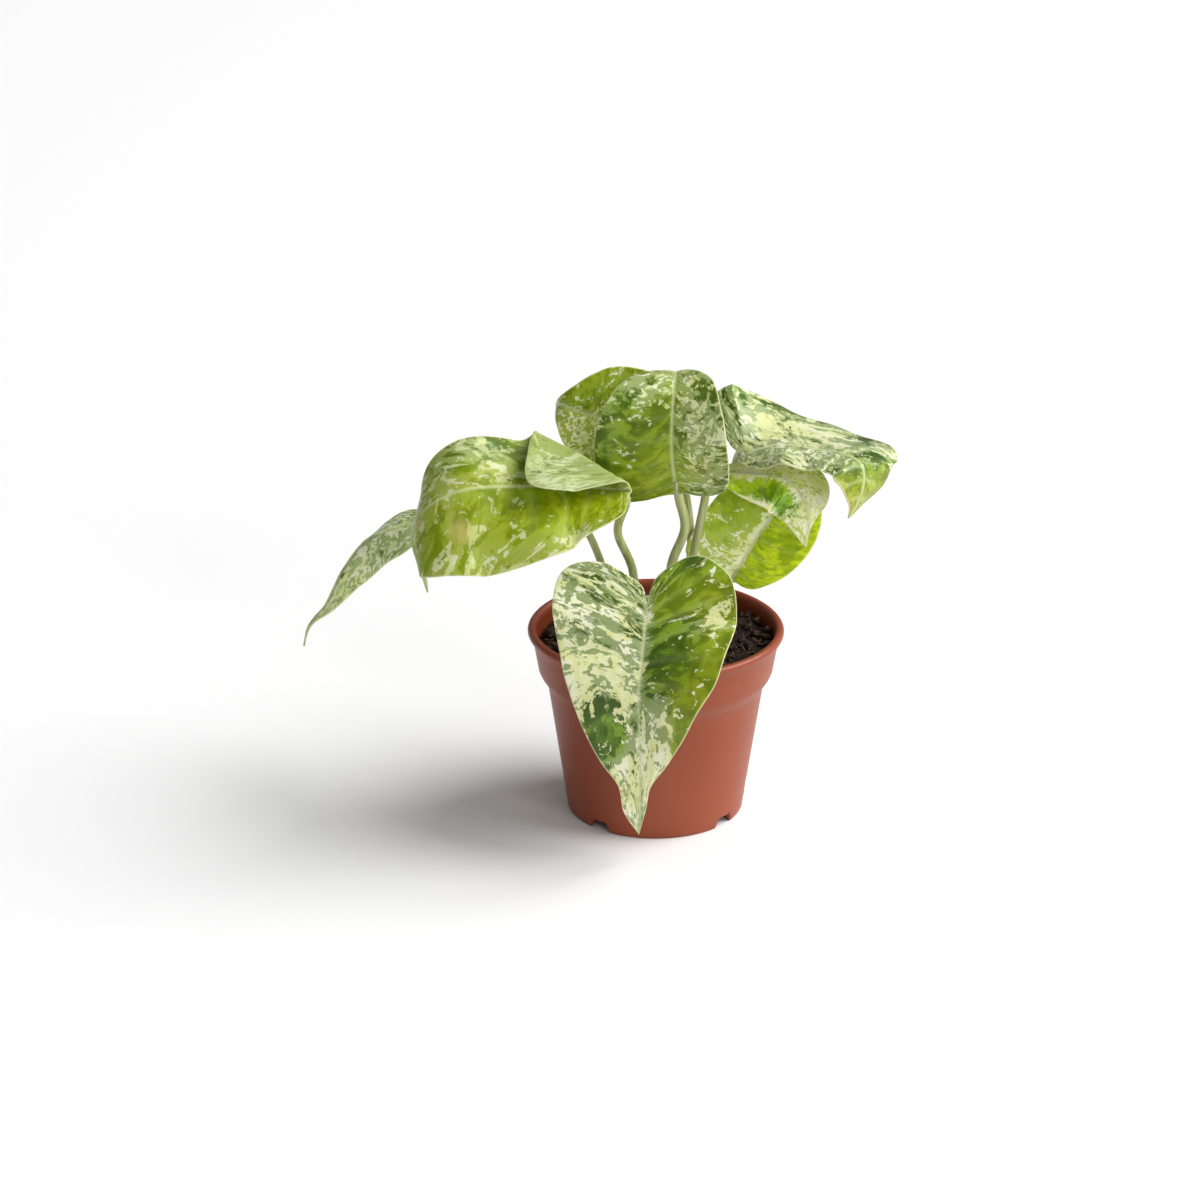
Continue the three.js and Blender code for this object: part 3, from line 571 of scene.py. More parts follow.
def blade_sheet(leaf, look):
    """The blade as a sheet of triangles. Its halves share the points of the midrib and the notch."""
    across = np.arange(FINE_COLUMNS + 1) / FINE_COLUMNS
    across = across - 0.5 * np.sin(2 * math.pi * across) / (2 * math.pi)
    t, s = np.meshgrid(np.arange(FINE_ROWS + 1) / FINE_ROWS, across, indexing="ij")
    sheets = [blade_layers(leaf, look, hand, t, s) for hand in (1, -1)]
    layers = {name: np.concatenate([sheet[name] for sheet in sheets]) for name in sheets[0]}
    right = np.arange(t.size).reshape(t.shape)
    left = right + t.size
    left[:, 0] = right[:, 0]
    left[0] = right[0]
    for number in (right, left):
        number[:int(FAN_SHARE * FINE_ROWS) + 1, 0] = right[0, 0]
        number[-1] = right[-1, 0]
    faces = np.concatenate([
        quad_faces(right[:-1, :-1], right[:-1, 1:], right[1:, 1:], right[1:, :-1]),
        quad_faces(left[:-1, :-1], left[1:, :-1], left[1:, 1:], left[:-1, 1:]),
    ])
    collapsed = (faces == np.roll(faces, 1, axis=1)).any(axis=1)
    used, faces = np.unique(faces[~collapsed], return_inverse=True)
    return {name: layer[used] for name, layer in layers.items()}, faces.reshape(-1, 3)


def sheet_normals(points, faces):
    """The sheet's direction at each point, from the faces round it."""
    corners = points[faces]
    across = np.cross(corners[:, 1] - corners[:, 0], corners[:, 2] - corners[:, 0])
    normals = np.zeros_like(points)
    for k in range(3):
        np.add.at(normals, faces[:, k], across)
    return unit(normals)


def border_edges(faces):
    """The edges that have a face on one side only."""
    edges = np.concatenate([faces[:, [0, 1]], faces[:, [1, 2]], faces[:, [2, 0]]])
    there = {(p, q) for p, q in edges.tolist()}
    return np.array([(p, q) for p, q in there if (q, p) not in there])


def blade_mesh(leaf, look):
    """The blade with its thickness: upper face, lower face and a wall round the edge."""
    layers, faces = blade_sheet(leaf, look)
    points = layers.pop("points")
    normals = sheet_normals(points, faces)
    height = layers.pop("height")[:, None]
    thin = layers["edge"][:, None]
    half = (BLADE_THICKNESS + (MARGIN_THICKNESS - BLADE_THICKNESS) * thin) / 2
    upper = points + normals * (height + half)
    lower = points + normals * (height - half)
    count = len(points)
    p, q = border_edges(faces).T
    wall = quad_faces(q, p, p + count, q + count)
    closed = np.concatenate([faces, faces[:, ::-1] + count, wall])
    layers = {name: np.concatenate([layer, layer]) for name, layer in layers.items()}
    layers["under"] = np.repeat([0.0, 1.0], count)
    return np.concatenate([upper, lower]), closed, layers


# Stalk
def fan_faces(hub, first, second):
    return np.stack([np.full(len(first), hub), first, second], -1)


def tube(path, radii, sides):
    """A closed tube along a path, its radius changing along it."""
    path = np.asarray(path, float)
    ahead = unit(np.gradient(path, axis=0))
    across = unit(np.cross(ahead[0], [0.3, 1.0, 0.2]))
    angle = 2 * math.pi * np.arange(sides)[:, None] / sides
    rings = []
    for place, direction, radius in zip(path, ahead, radii):
        across = unit(across - (across @ direction) * direction)
        third = np.cross(direction, across)
        rings.append(place + radius * (np.cos(angle) * across + np.sin(angle) * third))
    number = np.arange(len(path) * sides).reshape(-1, sides)
    beside = np.roll(number, -1, 1)
    return np.concatenate([*rings, path[:1], path[-1:]]), np.concatenate([
        quad_faces(number[:-1], beside[:-1], beside[1:], number[1:]),
        fan_faces(number.size, beside[0], number[0]),
        fan_faces(number.size + 1, number[-1], beside[-1]),
    ])


def stalk_mesh(leaf):
    """The stalk from the soil to the blade, and on as the ridge of the midrib under the blade."""
    stalk = leaf["stalk"]
    point, forward, up = (part[0] for part in rib_frame(leaf, np.zeros(1))[:3])
    arriving = unit(np.array(stalk["bends"][-1], float) - point)
    under = [
        point - 1.2 * forward - STALK_DROP * up + 1.8 * arriving,
        point - STALK_DROP * up,
        point + 1.8 * forward - STALK_DROP * up,
    ]
    root = [[*stalk["root"], z] for z in (STALK_FOOT, STALK_EXIT)]
    path = stalk_curve(root + stalk["bends"] + under, STALK_STEPS)
    w = np.linspace(0.03, 0.93, RIDGE_STEPS)
    w = w[w * leaf["length"] > RIDGE_START]
    ridge_points, _, ridge_up, _ = rib_frame(leaf, w)
    ridge_radii = stalk["radius"] * (0.72 * (1 - w) ** 0.8 + 0.1)
    ridge = ridge_points - ridge_up * (ridge_radii + RIDGE_GAP)[:, None]
    rise = np.arange(len(path)) / len(path)
    foot_swelling, top_swelling = 0.22 * bump(rise, 0.08), 0.08 * bump(rise - 0.9, 0.05)
    thickness = stalk["radius"] * (1 + foot_swelling + top_swelling)
    thickness *= 1 - 0.12 * smooth_step(0.93, 1.0, rise)
    return tube(np.vstack([path, ridge]), np.concatenate([thickness, ridge_radii]), STALK_SIDES)


# Blender meshes
def join(parts):
    """The points and faces of many small meshes as those of one."""
    starts = np.cumsum([0] + [len(points) for points, _ in parts])
    faces = [own + start for (_, own), start in zip(parts, starts)]
    return np.concatenate([points for points, _ in parts]), np.concatenate(faces)


def make_piece(name, points, faces, materials, layers=None, material_index=None):
    """A smooth object of triangles. A layer of pairs becomes a UV map, any other a point value."""
    mesh = bpy.data.meshes.new(name)
    mesh.vertices.add(len(points))
    mesh.vertices.foreach_set("co", np.asarray(points, np.float32).ravel())
    mesh.loops.add(3 * len(faces))
    mesh.loops.foreach_set("vertex_index", np.asarray(faces, np.int32).ravel())
    mesh.polygons.add(len(faces))
    mesh.polygons.foreach_set("loop_start", np.arange(0, 3 * len(faces), 3, dtype=np.int32))
    mesh.polygons.foreach_set("use_smooth", np.ones(len(faces), bool))
    if material_index is not None:
        mesh.polygons.foreach_set("material_index", np.asarray(material_index, np.int32))
    for layer_name, layer in (layers or {}).items():
        if layer.ndim == 2:
            data = mesh.uv_layers.new(name=layer_name).data
            data.foreach_set("uv", layer[faces.ravel()].astype(np.float32).ravel())
        else:
            data = mesh.attributes.new(layer_name, "FLOAT", "POINT").data
            data.foreach_set("value", layer.astype(np.float32))
    mesh.update(calc_edges=True)
    mesh.validate()
    for material in materials:
        mesh.materials.append(material)
    piece = bpy.data.objects.new(name, mesh)
    bpy.context.scene.collection.objects.link(piece)
    return piece


# Materials
def new_material(name):
    material = bpy.data.materials.new(name)
    material.use_nodes = True
    tree = material.node_tree
    return material, tree, tree.nodes["Principled BSDF"]


def set_inputs(tree, node, inputs):
    """Give a node its inputs. Another node's output is linked, and any other value is set."""
    for key, value in inputs.items():
        if isinstance(value, bpy.types.NodeSocket):
            tree.links.new(value, node.inputs[key])
        else:
            node.inputs[key].default_value = value


def add(tree, kind, inputs, **settings):
    """A shader node with its settings and inputs."""
    node = tree.nodes.new(kind)
    for key, value in settings.items():
        setattr(node, key, value)
    set_inputs(tree, node, inputs)
    return node


def maths(tree, operation, *values):
    return add(tree, "ShaderNodeMath", dict(enumerate(values)), operation=operation).outputs[0]


def weighted(tree, *terms):
    """The sum of values, each times its weight."""
    total = maths(tree, "MULTIPLY", *terms[0])
    for value, weight in terms[1:]:
        total = maths(tree, "MULTIPLY_ADD", value, weight, total)
    return total


def mix(tree, share, first, second):
    """A blend of two colours. The node takes them at inputs 6 and 7, and gives it at output 2."""
    inputs = {0: share}
    for key, colour in ((6, first), (7, second)):
        inputs[key] = colour if isinstance(colour, bpy.types.NodeSocket) else (*colour, 1.0)
    return add(tree, "ShaderNodeMix", inputs, data_type="RGBA").outputs[2]


def lay(tree, under, over, share, strength):
    """One colour laid over another where share is 1, as strongly as strength says."""
    return mix(tree, maths(tree, "MULTIPLY", share, strength), under, over)


def brighter(tree, colour, factor):
    inputs = {"Vector": colour, "Scale": factor}
    return add(tree, "ShaderNodeVectorMath", inputs, operation="SCALE").outputs[0]


def step(tree, value, low, high):
    """0 where the value is at low, 1 where it is at high, and smooth between them."""
    inputs = {0: value, 1: low, 2: high}
    return add(tree, "ShaderNodeMapRange", inputs, interpolation_type="SMOOTHSTEP").outputs[0]


def texture(tree, vector, scale, detail=3.0, roughness=0.55, distortion=0.0):
    inputs = {
        "Vector": vector, "Scale": scale, "Detail": detail, "Roughness": roughness,
        "Distortion": distortion,
    }
    return add(tree, "ShaderNodeTexNoise", inputs).outputs["Fac"]


def scaled(tree, vector, factors, offset=(0.0, 0.0, 0.0)):
    inputs = {"Vector": vector, "Scale": factors, "Location": offset}
    return add(tree, "ShaderNodeMapping", inputs).outputs[0]


def on_map(tree, uv_name, factors, offset):
    return scaled(tree, add(tree, "ShaderNodeUVMap", {}, uv_map=uv_name).outputs[0], factors, offset)


def on_object(tree):
    return add(tree, "ShaderNodeTexCoord", {}).outputs["Object"]


def vein_noise(tree, density, offset, detail, roughness, distortion):
    """Noise drawn out along the side veins. density is its steps across the veins and along them."""
    place = on_map(tree, "veins", (*density, 1.0), offset)
    return texture(tree, place, 1.0, detail, roughness, distortion)


def attribute(tree, name):
    return add(tree, "ShaderNodeAttribute", {}, attribute_name=name).outputs["Fac"]


def bumpy(tree, height, distance):
    return add(tree, "ShaderNodeBump", {"Height": height, "Distance": distance}).outputs[0]


DEEP_GREEN = (0.038, 0.088, 0.001)
MID_GREEN = (0.095, 0.185, 0.003)
FRESH_GREEN = (0.185, 0.31, 0.018)
YELLOW_DEEP = (0.16, 0.22, 0.001)
YELLOW_MID = (0.31, 0.37, 0.006)
GREY_GREEN = (0.28, 0.345, 0.15)
CREAM = (0.70, 0.71, 0.35)
WHITE_CREAM = (0.82, 0.82, 0.64)
BEIGE = (0.56, 0.42, 0.18)
VEIN_GREEN = (0.62, 0.68, 0.33)
EDGE_CREAM = (0.66, 0.60, 0.40)

# Where each layer of the marbling begins and where it is whole, on its own field of noise
TONE_RANGE = (0.42, 0.60)
WARM_RANGE = (0.30, 1.0)
PALE_RANGE = (-0.03, 0.03)
GREY_RANGE = (0.475, 0.525)
CREAM_RANGE = (0.545, 0.562)
WHITE_RANGE = (0.42, 0.6)
DARK_RANGE = (0.555, 0.585)
TAN_RANGE = (0.45, 0.95)
EDGE_RANGE = (0.5, 0.95)


def leaf_material(name, look):
    """Marbled leaf: green tissue under grey-green and cream tissue, streaked along the veins."""
    material, tree, shader = new_material(name)
    seed = float(look["seed"])
    clouds = vein_noise(tree, (11.0, 2.2), (seed, 0.0, 1.0), 3.0, 0.55, 0.5)
    wide = vein_noise(tree, (26.0, 3.4), (0.0, seed, 2.0), 5.0, 0.6, 0.8)
    streaks = vein_noise(tree, (30.0, 4.2), (seed, seed, 3.0), 5.0, 0.6, 1.0)
    strokes = vein_noise(tree, (44.0, 4.0), (4.0, seed, 6.0), 4.0, 0.55, 0.6)
    fine = vein_noise(tree, (95.0, 11.0), (seed, 0.0, 4.0), 3.0, 0.6, 0.6)
    flat = on_map(tree, "flat", (1.0, 1.0, 1.0), (seed, seed, 0.0))
    flecks = texture(tree, flat, 75.0, 4.0, 0.65, 0.6)
    shades = texture(tree, flat, 9.0, 2.0, 0.5, 0.3)
    grain = texture(tree, flat, 420.0, 2.0, 0.6)
    pale, warm, tan, vein, edge, under = (
        attribute(tree, key) for key in ("pale", "warm", "tan", "vein", "edge", "under"))

    tone = step(tree, weighted(tree, (wide, 0.6), (clouds, 0.4)), *TONE_RANGE)
    cool = mix(tree, tone, DEEP_GREEN, MID_GREEN)
    yellow = mix(tree, tone, YELLOW_DEEP, YELLOW_MID)
    warm_share = step(tree, weighted(tree, (shades, 0.6), (warm, 1.0)), *WARM_RANGE)
    # Painted light: lift brightens the green beyond the tissue's own tone.
    green = brighter(tree, mix(tree, warm_share, cool, yellow), look["lift"])
    grey = mix(tree, step(tree, pale, *PALE_RANGE), FRESH_GREEN, GREY_GREEN)
    grey = lay(tree, grey, YELLOW_MID, warm_share, 0.65)
    # Painted light: the grey-green tissue is brightened along with lift.
    grey = brighter(tree, grey, 0.5 + look["lift"] / 2)
    grey_field = weighted(tree, (clouds, 0.45), (wide, 0.55), (pale, 1.0))
    colour = lay(tree, green, grey, step(tree, grey_field, *GREY_RANGE), 0.92)

    cream_field = weighted(tree, (streaks, 0.68), (fine, 0.2), (flecks, 0.12), (pale, 0.85))
    cream_share = step(tree, cream_field, *CREAM_RANGE)
    cream = mix(tree, step(tree, clouds, *WHITE_RANGE), CREAM, WHITE_CREAM)
    # Painted light: the cream is brightened a little along with lift.
    cream = brighter(tree, cream, 0.88 + 0.12 * look["lift"])
    colour = lay(tree, colour, cream, cream_share, look["cream"])
    dark_field = weighted(tree, (strokes, 0.75), (fine, 0.25), (pale, -0.25))
    dark_share = step(tree, dark_field, *DARK_RANGE)
    colour = lay(tree, colour, brighter(tree, green, 0.8), dark_share, look["dark"])

    tan_share = step(tree, weighted(tree, (fine, 0.5), (tan, 1.0)), *TAN_RANGE)
    colour = lay(tree, colour, BEIGE, tan_share, 0.8)
    colour = lay(tree, colour, VEIN_GREEN, vein, 0.85)
    colour = lay(tree, colour, EDGE_CREAM, step(tree, edge, *EDGE_RANGE), 0.65)
    underside = mix(tree, 0.35, colour, GREY_GREEN)
    rough = weighted(tree, (wide, 0.22), (cream_share, 0.06), (under, 0.18))
    set_inputs(tree, shader, {
        "Base Color": mix(tree, under, colour, underside),
        "Roughness": maths(tree, "ADD", rough, 0.26),
        "Specular IOR Level": 0.28,
        "Subsurface Weight": 0.6,
        "Subsurface Radius": (0.9, 1.0, 0.35),
        "Subsurface Scale": 0.0009,
        "Coat Weight": look["sheen"] * 0.4,
        "Coat Roughness": 0.28,
        "Normal": bumpy(tree, weighted(tree, (grain, 0.35), (fine, 0.8)), 0.00006),
    })
    return material


def stalk_material(name):
    """Pale green stalk, streaked lengthwise, and browner at its foot."""
    material, tree, shader = new_material(name)
    place = on_object(tree)
    streak = texture(tree, scaled(tree, place, (900.0, 900.0, 60.0)), 1.0, 3.0, 0.6)
    blotch = texture(tree, place, 260.0, 3.0, 0.6)
    green = mix(tree, step(tree, streak, 0.35, 0.7), (0.34, 0.37, 0.11), (0.50, 0.52, 0.25))
    colour = mix(tree, step(tree, blotch, 0.55, 0.75), green, (0.45, 0.50, 0.22))
    foot = step(tree, attribute(tree, "rise"), 0.16, 0.0)
    set_inputs(tree, shader, {
        "Base Color": lay(tree, colour, (0.36, 0.30, 0.15), foot, 0.5),
        "Roughness": 0.38,
        "Subsurface Weight": 0.25,
        "Subsurface Radius": (0.8, 1.0, 0.3),
        "Subsurface Scale": 0.001,
        "Normal": bumpy(tree, streak, 0.00008),
    })
    return material


def pot_material():
    """Moulded terracotta-coloured plastic with a faint mottle, flow lines and fine scuffs."""
    material, tree, shader = new_material("pot_plastic")
    place = on_object(tree)
    cloud = texture(tree, place, 55.0, 4.0, 0.6, 0.3)
    flow = texture(tree, scaled(tree, place, (90.0, 90.0, 900.0)), 1.0, 3.0, 0.6)
    grain = texture(tree, place, 5200.0, 2.0, 0.6)
    scuff = texture(tree, scaled(tree, place, (500.0, 500.0, 1400.0)), 1.0, 5.0, 0.75, 1.2)
    colour = mix(tree, step(tree, cloud, 0.3, 0.7), (0.240, 0.040, 0.008), (0.268, 0.049, 0.012))
    rough = weighted(tree, (cloud, 0.16), (flow, 0.08))
    set_inputs(tree, shader, {
        "Base Color": lay(tree, colour, (0.55, 0.25, 0.16), step(tree, scuff, 0.66, 0.78), 0.25),
        "Roughness": maths(tree, "ADD", rough, 0.30),
        "Subsurface Weight": 0.08,
        "Subsurface Radius": (1.0, 0.35, 0.2),
        "Subsurface Scale": 0.0012,
        "Normal": bumpy(tree, weighted(tree, (flow, 0.6), (grain, 0.5)), 0.00003),
    })
    return material


# Each soil finish: its dark and light colour, the steps of its grain a metre, and its roughness
SOIL_LOOKS = {
    "soil_peat": ((0.010, 0.0045, 0.002), (0.045, 0.021, 0.009), 900.0, 0.9),
    "soil_crumb": ((0.016, 0.0075, 0.0035), (0.075, 0.035, 0.016), 700.0, 0.75),
    "soil_fibre": ((0.10, 0.055, 0.025), (0.38, 0.27, 0.16), 500.0, 0.5),
}


def soil_material(name):
    dark, light, grain_scale, roughness = SOIL_LOOKS[name]
    material, tree, shader = new_material(name)
    place = on_object(tree)
    lumps = texture(tree, place, grain_scale, 5.0, 0.7, 0.4)
    specks = texture(tree, place, grain_scale * 4, 3.0, 0.7)
    colour = mix(tree, step(tree, lumps, 0.4, 0.72), dark, light)
    set_inputs(tree, shader, {
        "Base Color": lay(tree, colour, (0.16, 0.10, 0.055), step(tree, specks, 0.66, 0.74), 0.5),
        "Roughness": roughness,
        "Specular IOR Level": 0.3,
        "Normal": bumpy(tree, specks, 0.0002),
    })
    return material


# Pot
def pot_profile():
    """Half section of the pot: outside from the foot up, round the bead, and down the inside."""
    outside = [
        (FOOT_RADIUS, 0.0004), (FOOT_RADIUS + 0.0003, 0.003),
        (FOOT_RADIUS + 0.00045, 0.0033), (FOOT_RADIUS + 0.0004, 0.0036),
        (SHOULDER_RADIUS - 0.0002, SHOULDER_HEIGHT - 0.001),
        (SHOULDER_RADIUS + 0.0002, SHOULDER_HEIGHT + 0.0004),
        (SHOULDER_RADIUS + 0.0016, SHOULDER_HEIGHT + 0.0026),
        (SHOULDER_RADIUS + 0.0021, SHOULDER_HEIGHT + 0.0037),
        (COLLAR_RADIUS - 0.0001, POT_HEIGHT - 0.0034),
        (COLLAR_RADIUS + 0.0002, POT_HEIGHT - 0.0025),
    ]
    bead = []
    for degrees in range(-75, 126, 20):
        angle = math.radians(degrees)
        radius = RIM_RADIUS - BEAD_RADIUS + BEAD_RADIUS * math.cos(angle)
        bead.append((radius, POT_HEIGHT - BEAD_DROP + BEAD_RADIUS * math.sin(angle)))
    inside = [
        (RIM_RADIUS - 0.0021, POT_HEIGHT - 0.0012),
        (COLLAR_RADIUS - WALL, POT_HEIGHT - 0.004),
        (SHOULDER_RADIUS - WALL + 0.002, SHOULDER_HEIGHT + 0.0035),
        (SHOULDER_RADIUS - WALL, SHOULDER_HEIGHT),
        (FOOT_RADIUS - WALL + 0.0008, FLOOR_TOP + 0.0006),
        (FOOT_RADIUS - WALL - 0.001, FLOOR_TOP),
        (DRAIN_RING, FLOOR_TOP), (0.0, FLOOR_TOP),
        (0.0, FLOOR_UNDERSIDE), (DRAIN_RING, FLOOR_UNDERSIDE),
        (FOOT_RADIUS - 0.0014, FLOOR_UNDERSIDE), (FOOT_RADIUS - 0.0011, 0.0024),
        (FOOT_RADIUS - 0.001, 0.0003), (FOOT_RADIUS - 0.0008, 0.0), (FOOT_RADIUS - 0.0003, 0.0),
    ]
    return outside + bead + inside


def dense_profile(corners, spacing):
    """The profile with points at an even spacing on its straight stretches."""
    places = []
    for (r0, z0), (r1, z1) in zip(corners, corners[1:] + corners[:1]):
        count = max(1, round(math.hypot(r1 - r0, z1 - z0) / spacing))
        places += [(r0 + (r1 - r0) * k / count, z0 + (z1 - z0) * k / count) for k in range(count)]
    return np.array(places)


def notch_height(angle):
    """How far the foot is cut away at each direction."""
    height = np.zeros_like(angle)
    for k in range(NOTCHES):
        middle = NOTCH_DIRECTION + 2 * math.pi * k / NOTCHES
        off = np.abs((angle - middle + math.pi) % (2 * math.pi) - math.pi) * FOOT_RADIUS
        open_share = smooth_step(NOTCH_WIDTH / 2, NOTCH_WIDTH / 2 - NOTCH_SLOPE, off)
        height = np.maximum(height, NOTCH_HEIGHT * open_share)
    return height


def cut_drain_hole(pot, direction):
    """Take one round hole out of the pot's floor."""
    x, y = DRAIN_RING * math.cos(direction), DRAIN_RING * math.sin(direction)
    axis = np.array([[x, y, FLOOR_UNDERSIDE - MM], [x, y, FLOOR_TOP + MM]]) + POT_AXIS
    drill = make_piece("drill", *tube(axis, [DRAIN_RADIUS, DRAIN_RADIUS], DRAIN_SIDES), [])
    cut = pot.modifiers.new("drain", "BOOLEAN")
    cut.object = drill
    cut.operation = "DIFFERENCE"
    cut.solver = "EXACT"
    evaluated = pot.evaluated_get(bpy.context.evaluated_depsgraph_get())
    drilled = bpy.data.meshes.new_from_object(evaluated)
    pot.modifiers.clear()
    pot.data = drilled
    bpy.data.objects.remove(drill)


def make_pot(material):
    """The pot turned from its profile, with its notches and a slight waver of the wall."""
    profile = dense_profile(pot_profile(), PROFILE_SPACING)
    angle = np.arange(POT_SIDES) * 2 * math.pi / POT_SIDES
    radius, height = profile[:, :1], profile[:, 1:]
    raised = notch_height(angle)
    foot = (radius > FOOT_RADIUS - 0.0013) & (height < raised)
    height = np.where(foot, raised, height)
    wobble = POT_WOBBLE * np.sin(3 * angle) * (height / POT_HEIGHT)
    radius = np.where(radius > 0, radius - np.abs(wobble), 0)
    points = np.stack([radius * np.cos(angle), radius * np.sin(angle), height], -1) + POT_AXIS
    number = np.arange(radius.size).reshape(radius.shape)
    beside = np.roll(number, -1, 1)
    faces = quad_faces(number, beside, np.roll(beside, -1, 0), np.roll(number, -1, 0))
    pot = make_piece("pot_shell", points.reshape(-1, 3), faces, [material])
    shape = bmesh.new()
    shape.from_mesh(pot.data)
    bmesh.ops.remove_doubles(shape, verts=shape.verts, dist=1e-7)
    shape.to_mesh(pot.data)
    shape.free()
    for k in range(NOTCHES):
        cut_drain_hole(pot, NOTCH_DIRECTION + 2 * math.pi * k / NOTCHES)
    return pot


# Soil
def soil_height(x, y):
    total = 0
    for k, (scale, share) in enumerate(SOIL_LUMPS):
        total = total + share * noise(x * scale + 31.7, y * scale + 17.3, LUMP_SEED + k)
    return SOIL_LEVEL - 0.0002 + LUMP_HEIGHT * total


def make_soil(material):
    """The body of soil: a lumpy top that is dense with points, and plain sides and underside."""
    rings, sides = SOIL_RINGS, SOIL_SPOKES
    share = np.linspace(0.0, 1.0, rings)[:, None]
    angle = np.arange(sides)[None, :] * 2 * math.pi / sides
    x, y = share * SOIL_RADIUS * np.cos(angle), share * SOIL_RADIUS * np.sin(angle)
    z = soil_height(x, y) - SOIL_EDGE_DROP * smooth_step(0.9, 1.0, share)
    top = np.stack([x, y, z], -1).reshape(-1, 3)
    around = np.stack([np.cos(angle[0]), np.sin(angle[0])], -1)
    rings_below = []
    for radius, height in SOIL_SIDE:
        rings_below.append(np.column_stack([radius * around, np.full(sides, height)]))
    points = np.concatenate([top, *rings_below, [[0.0, 0.0, SOIL_SIDE[-1][1]]]]) + POT_AXIS
    number = np.arange(len(points) - 1).reshape(-1, sides)
    beside = np.roll(number, -1, 1)
    rows = quad_faces(number[:-1], number[1:], beside[1:], beside[:-1])
    underside = fan_faces(number.size, beside[-1], number[-1])
    return make_piece("soil_bed", points, np.concatenate([rows, underside]), [material])


def unit_lump():
    """An icosphere's points and faces."""
    shape = bmesh.new()
    bmesh.ops.create_icosphere(shape, subdivisions=2, radius=1.0)
    points = np.array([v.co[:] for v in shape.verts])
    faces = np.array([[v.index for v in f.verts] for f in shape.faces])
    shape.free()
    return points, faces


def random_place(rng, reach):
    """A place on the soil, even over a disc."""
    radius, angle = reach * math.sqrt(rng.random()), 2 * math.pi * rng.random()
    return radius * math.cos(angle), radius * math.sin(angle)


def surface_point(x, y, above):
    return POT_AXIS + [x, y, float(soil_height(np.array(x), np.array(y))) + above]


def make_crumbs(material):
    """Loose dented lumps of soil, a few of them large."""
    rng = np.random.default_rng(CRUMB_SEED)
    lump, lump_faces = unit_lump()
    parts = []
    for _ in range(CRUMBS):
        x, y = random_place(rng, SOIL_RADIUS - 0.0008)
        size = 0.00028 + 0.0011 * rng.random() ** 3
        stretch = size * rng.uniform([0.7, 0.7, 0.45], [1.5, 1.1, 0.9])
        dents = 1 + 0.28 * rng.standard_normal(len(lump))[:, None]
        turn = np.array(Matrix.Rotation(6.28 * rng.random(), 3, "Z"))
        shape = (lump * dents * stretch) @ turn.T
        parts.append((shape + surface_point(x, y, 0.3 * size), lump_faces))
    return make_piece("soil_crumbs", *join(parts), [material])


def make_fibres(material):
    """Thin bent strands that lie on the soil."""
    rng = np.random.default_rng(FIBRE_SEED)
    last = FIBRE_POINTS - 1
    parts = []
    for _ in range(FIBRES):
        x, y = random_place(rng, SOIL_RADIUS - 0.003)
        heading = 2 * math.pi * rng.random()
        bend = rng.normal() * 0.5
        length = 0.0012 + 0.0045 * rng.random() ** 2
        path = []
        for k in range(FIBRE_POINTS):
            step_angle = heading + bend * k / 3
            x += length / last * math.cos(step_angle)
            y += length / last * math.sin(step_angle)
            arch = 0.0004 * math.sin(math.pi * k / last) * rng.random()
            path.append(surface_point(x, y, 0.0003 + arch))
        thickness = 0.00006 + 0.00016 * rng.random() ** 2
        taper = 0.4 + 0.6 * np.sin(math.pi * np.arange(1, FIBRE_POINTS + 1) / (FIBRE_POINTS + 1))
        parts.append(tube(path, thickness * taper, FIBRE_SIDES))
    return make_piece("soil_fibres", *join(parts), [material])


# Build the pieces
def make_leaf(name, leaf, look):
    """One leaf with its stalk as one piece of two finishes."""
    leaf["length"] = np.linalg.norm(slope(leaf["rib"], np.arange(60) / 59), axis=-1).mean()
    blade, blade_faces, layers = blade_mesh(leaf, look)
    stalk, stalk_faces = stalk_mesh(leaf)
    points, faces = join([(blade, blade_faces), (stalk, stalk_faces)])
    for key, layer in layers.items():
        layers[key] = np.concatenate([layer, np.zeros((len(stalk), *layer.shape[1:]))])
    rise = np.repeat(np.linspace(0, 1, (len(stalk) - 2) // STALK_SIDES), STALK_SIDES)
    layers["rise"] = np.concatenate([np.zeros(len(blade)), rise, [0.0, 1.0]])
    index = np.repeat([0, 1], [len(blade_faces), len(stalk_faces)])
    materials = [leaf_material(name + "_blade", look), stalk_material(name + "_stalk")]
    piece = make_piece(name + "_fine", points * MM + POT_AXIS, faces, materials, layers, index)
    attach(piece, "root")
    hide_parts(name)


for leaf_name, leaf_shape in LEAVES.items():
    make_leaf(leaf_name, leaf_shape, LOOKS[leaf_name])

pot = make_pot(pot_material())
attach(pot, "root")
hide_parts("pot")

soil = make_soil(soil_material("soil_peat"))
crumbs = make_crumbs(soil_material("soil_crumb"))
fibres = make_fibres(soil_material("soil_fibre"))
for piece in (soil, crumbs, fibres):
    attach(piece, "root")
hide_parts("soil")


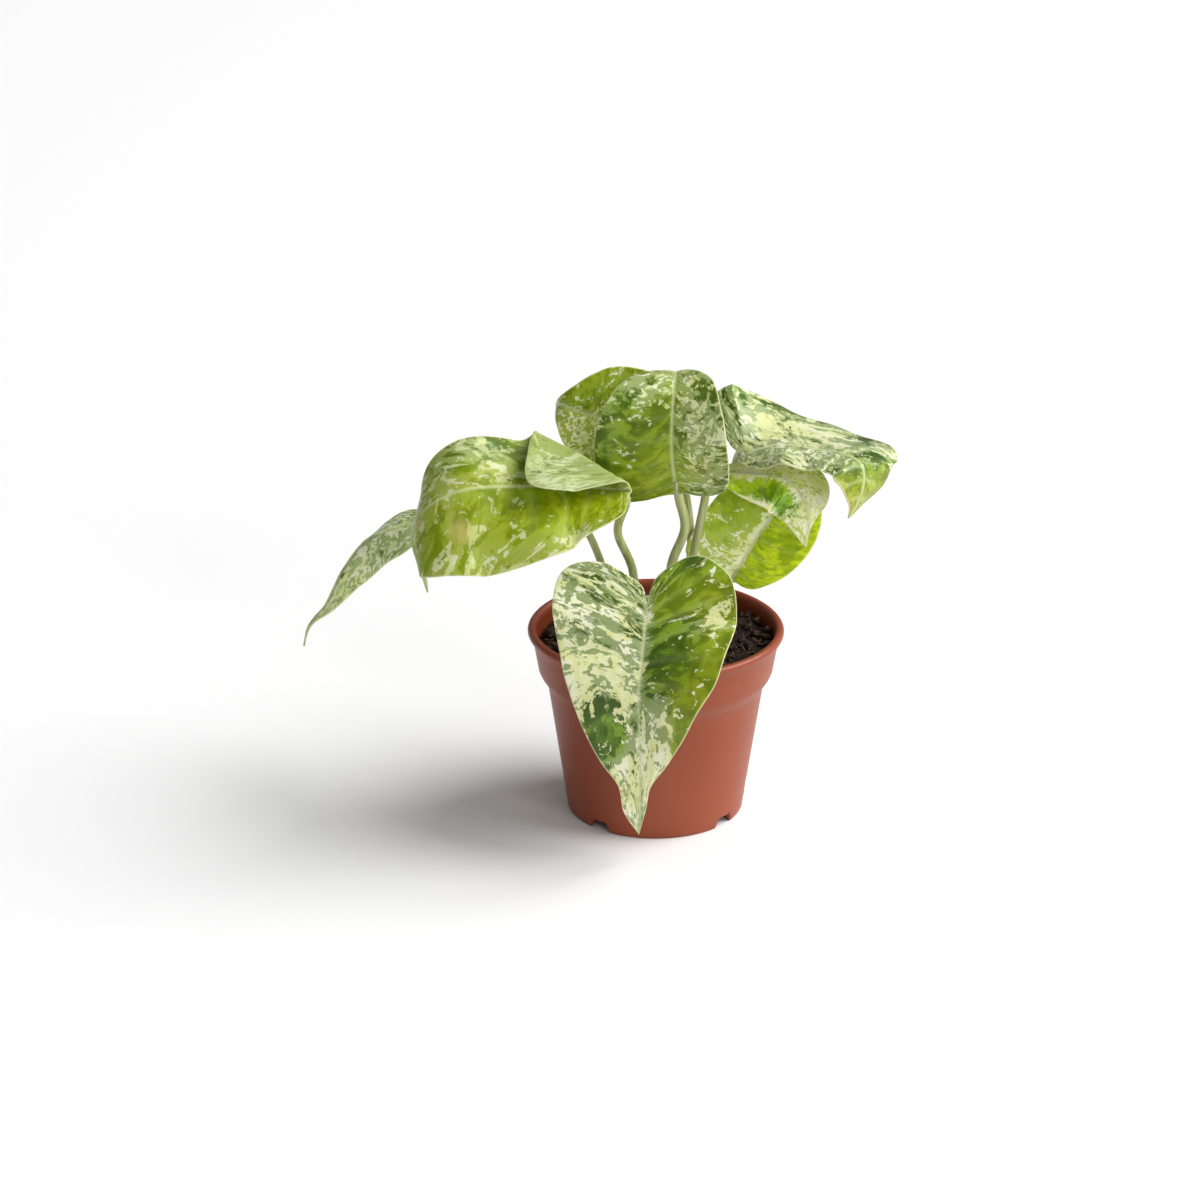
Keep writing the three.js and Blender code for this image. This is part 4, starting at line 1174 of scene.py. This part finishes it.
# Floor, light and camera
def make_floor():
    bpy.ops.mesh.primitive_plane_add(size=2 * FLOOR_REACH, location=(0, 0, 0))
    floor = bpy.context.object
    floor.name = "floor"
    material, tree, shader = new_material("floor_white")
    set_inputs(tree, shader, {
        "Base Color": (0.86, 0.86, 0.86, 1.0), "Roughness": 0.9, "Specular IOR Level": 0.1,
    })
    floor.data.materials.append(material)


def make_light(name, target, offset, size, power):
    data = bpy.data.lights.new(name, "AREA")
    data.shape = "DISK"
    data.size = size
    data.energy = power
    lamp = bpy.data.objects.new(name, data)
    lamp.location = target + Vector(offset)
    lamp.rotation_euler = (target - lamp.location).to_track_quat("-Z", "Y").to_euler()
    bpy.context.scene.collection.objects.link(lamp)


def make_camera():
    """The camera, placed so that the middle of the pot's rim falls on its pixel."""
    tilt = math.pi / 2 - CAMERA_PITCH
    centre = FRAME_PIXELS / 2
    aside = (RIM_CENTRE_PIXEL[0] - centre) / FOCAL_PIXELS * CAMERA_DISTANCE
    below = (RIM_CENTRE_PIXEL[1] - centre) / FOCAL_PIXELS * CAMERA_DISTANCE
    rim = Vector(POT_AXIS) + Vector((0, 0, POT_HEIGHT))
    data = bpy.data.cameras.new("camera")
    data.sensor_width = SENSOR / MM
    data.lens = FOCAL_PIXELS / FRAME_PIXELS * data.sensor_width
    data.clip_start = 0.01
    camera = bpy.data.objects.new("camera", data)
    back = Vector((-aside, below, CAMERA_DISTANCE))
    camera.location = rim + Matrix.Rotation(tilt, 3, "X") @ back
    camera.rotation_euler = (tilt, 0, 0)
    bpy.context.scene.collection.objects.link(camera)
    bpy.context.scene.camera = camera


def make_sky():
    world = bpy.data.worlds.new("studio")
    world.use_nodes = True
    sky = {"Color": (1.0, 1.0, 1.0, 1.0), "Strength": SKY_STRENGTH}
    set_inputs(world.node_tree, world.node_tree.nodes["Background"], sky)
    bpy.context.scene.world = world


make_floor()
middle = Vector(POT_AXIS) + Vector((0, 0, PLANT_MIDDLE))
for light_name, settings in LIGHTS.items():
    make_light(light_name, middle, *settings)
make_sky()
make_camera()
bpy.context.scene.view_settings.view_transform = "Standard"
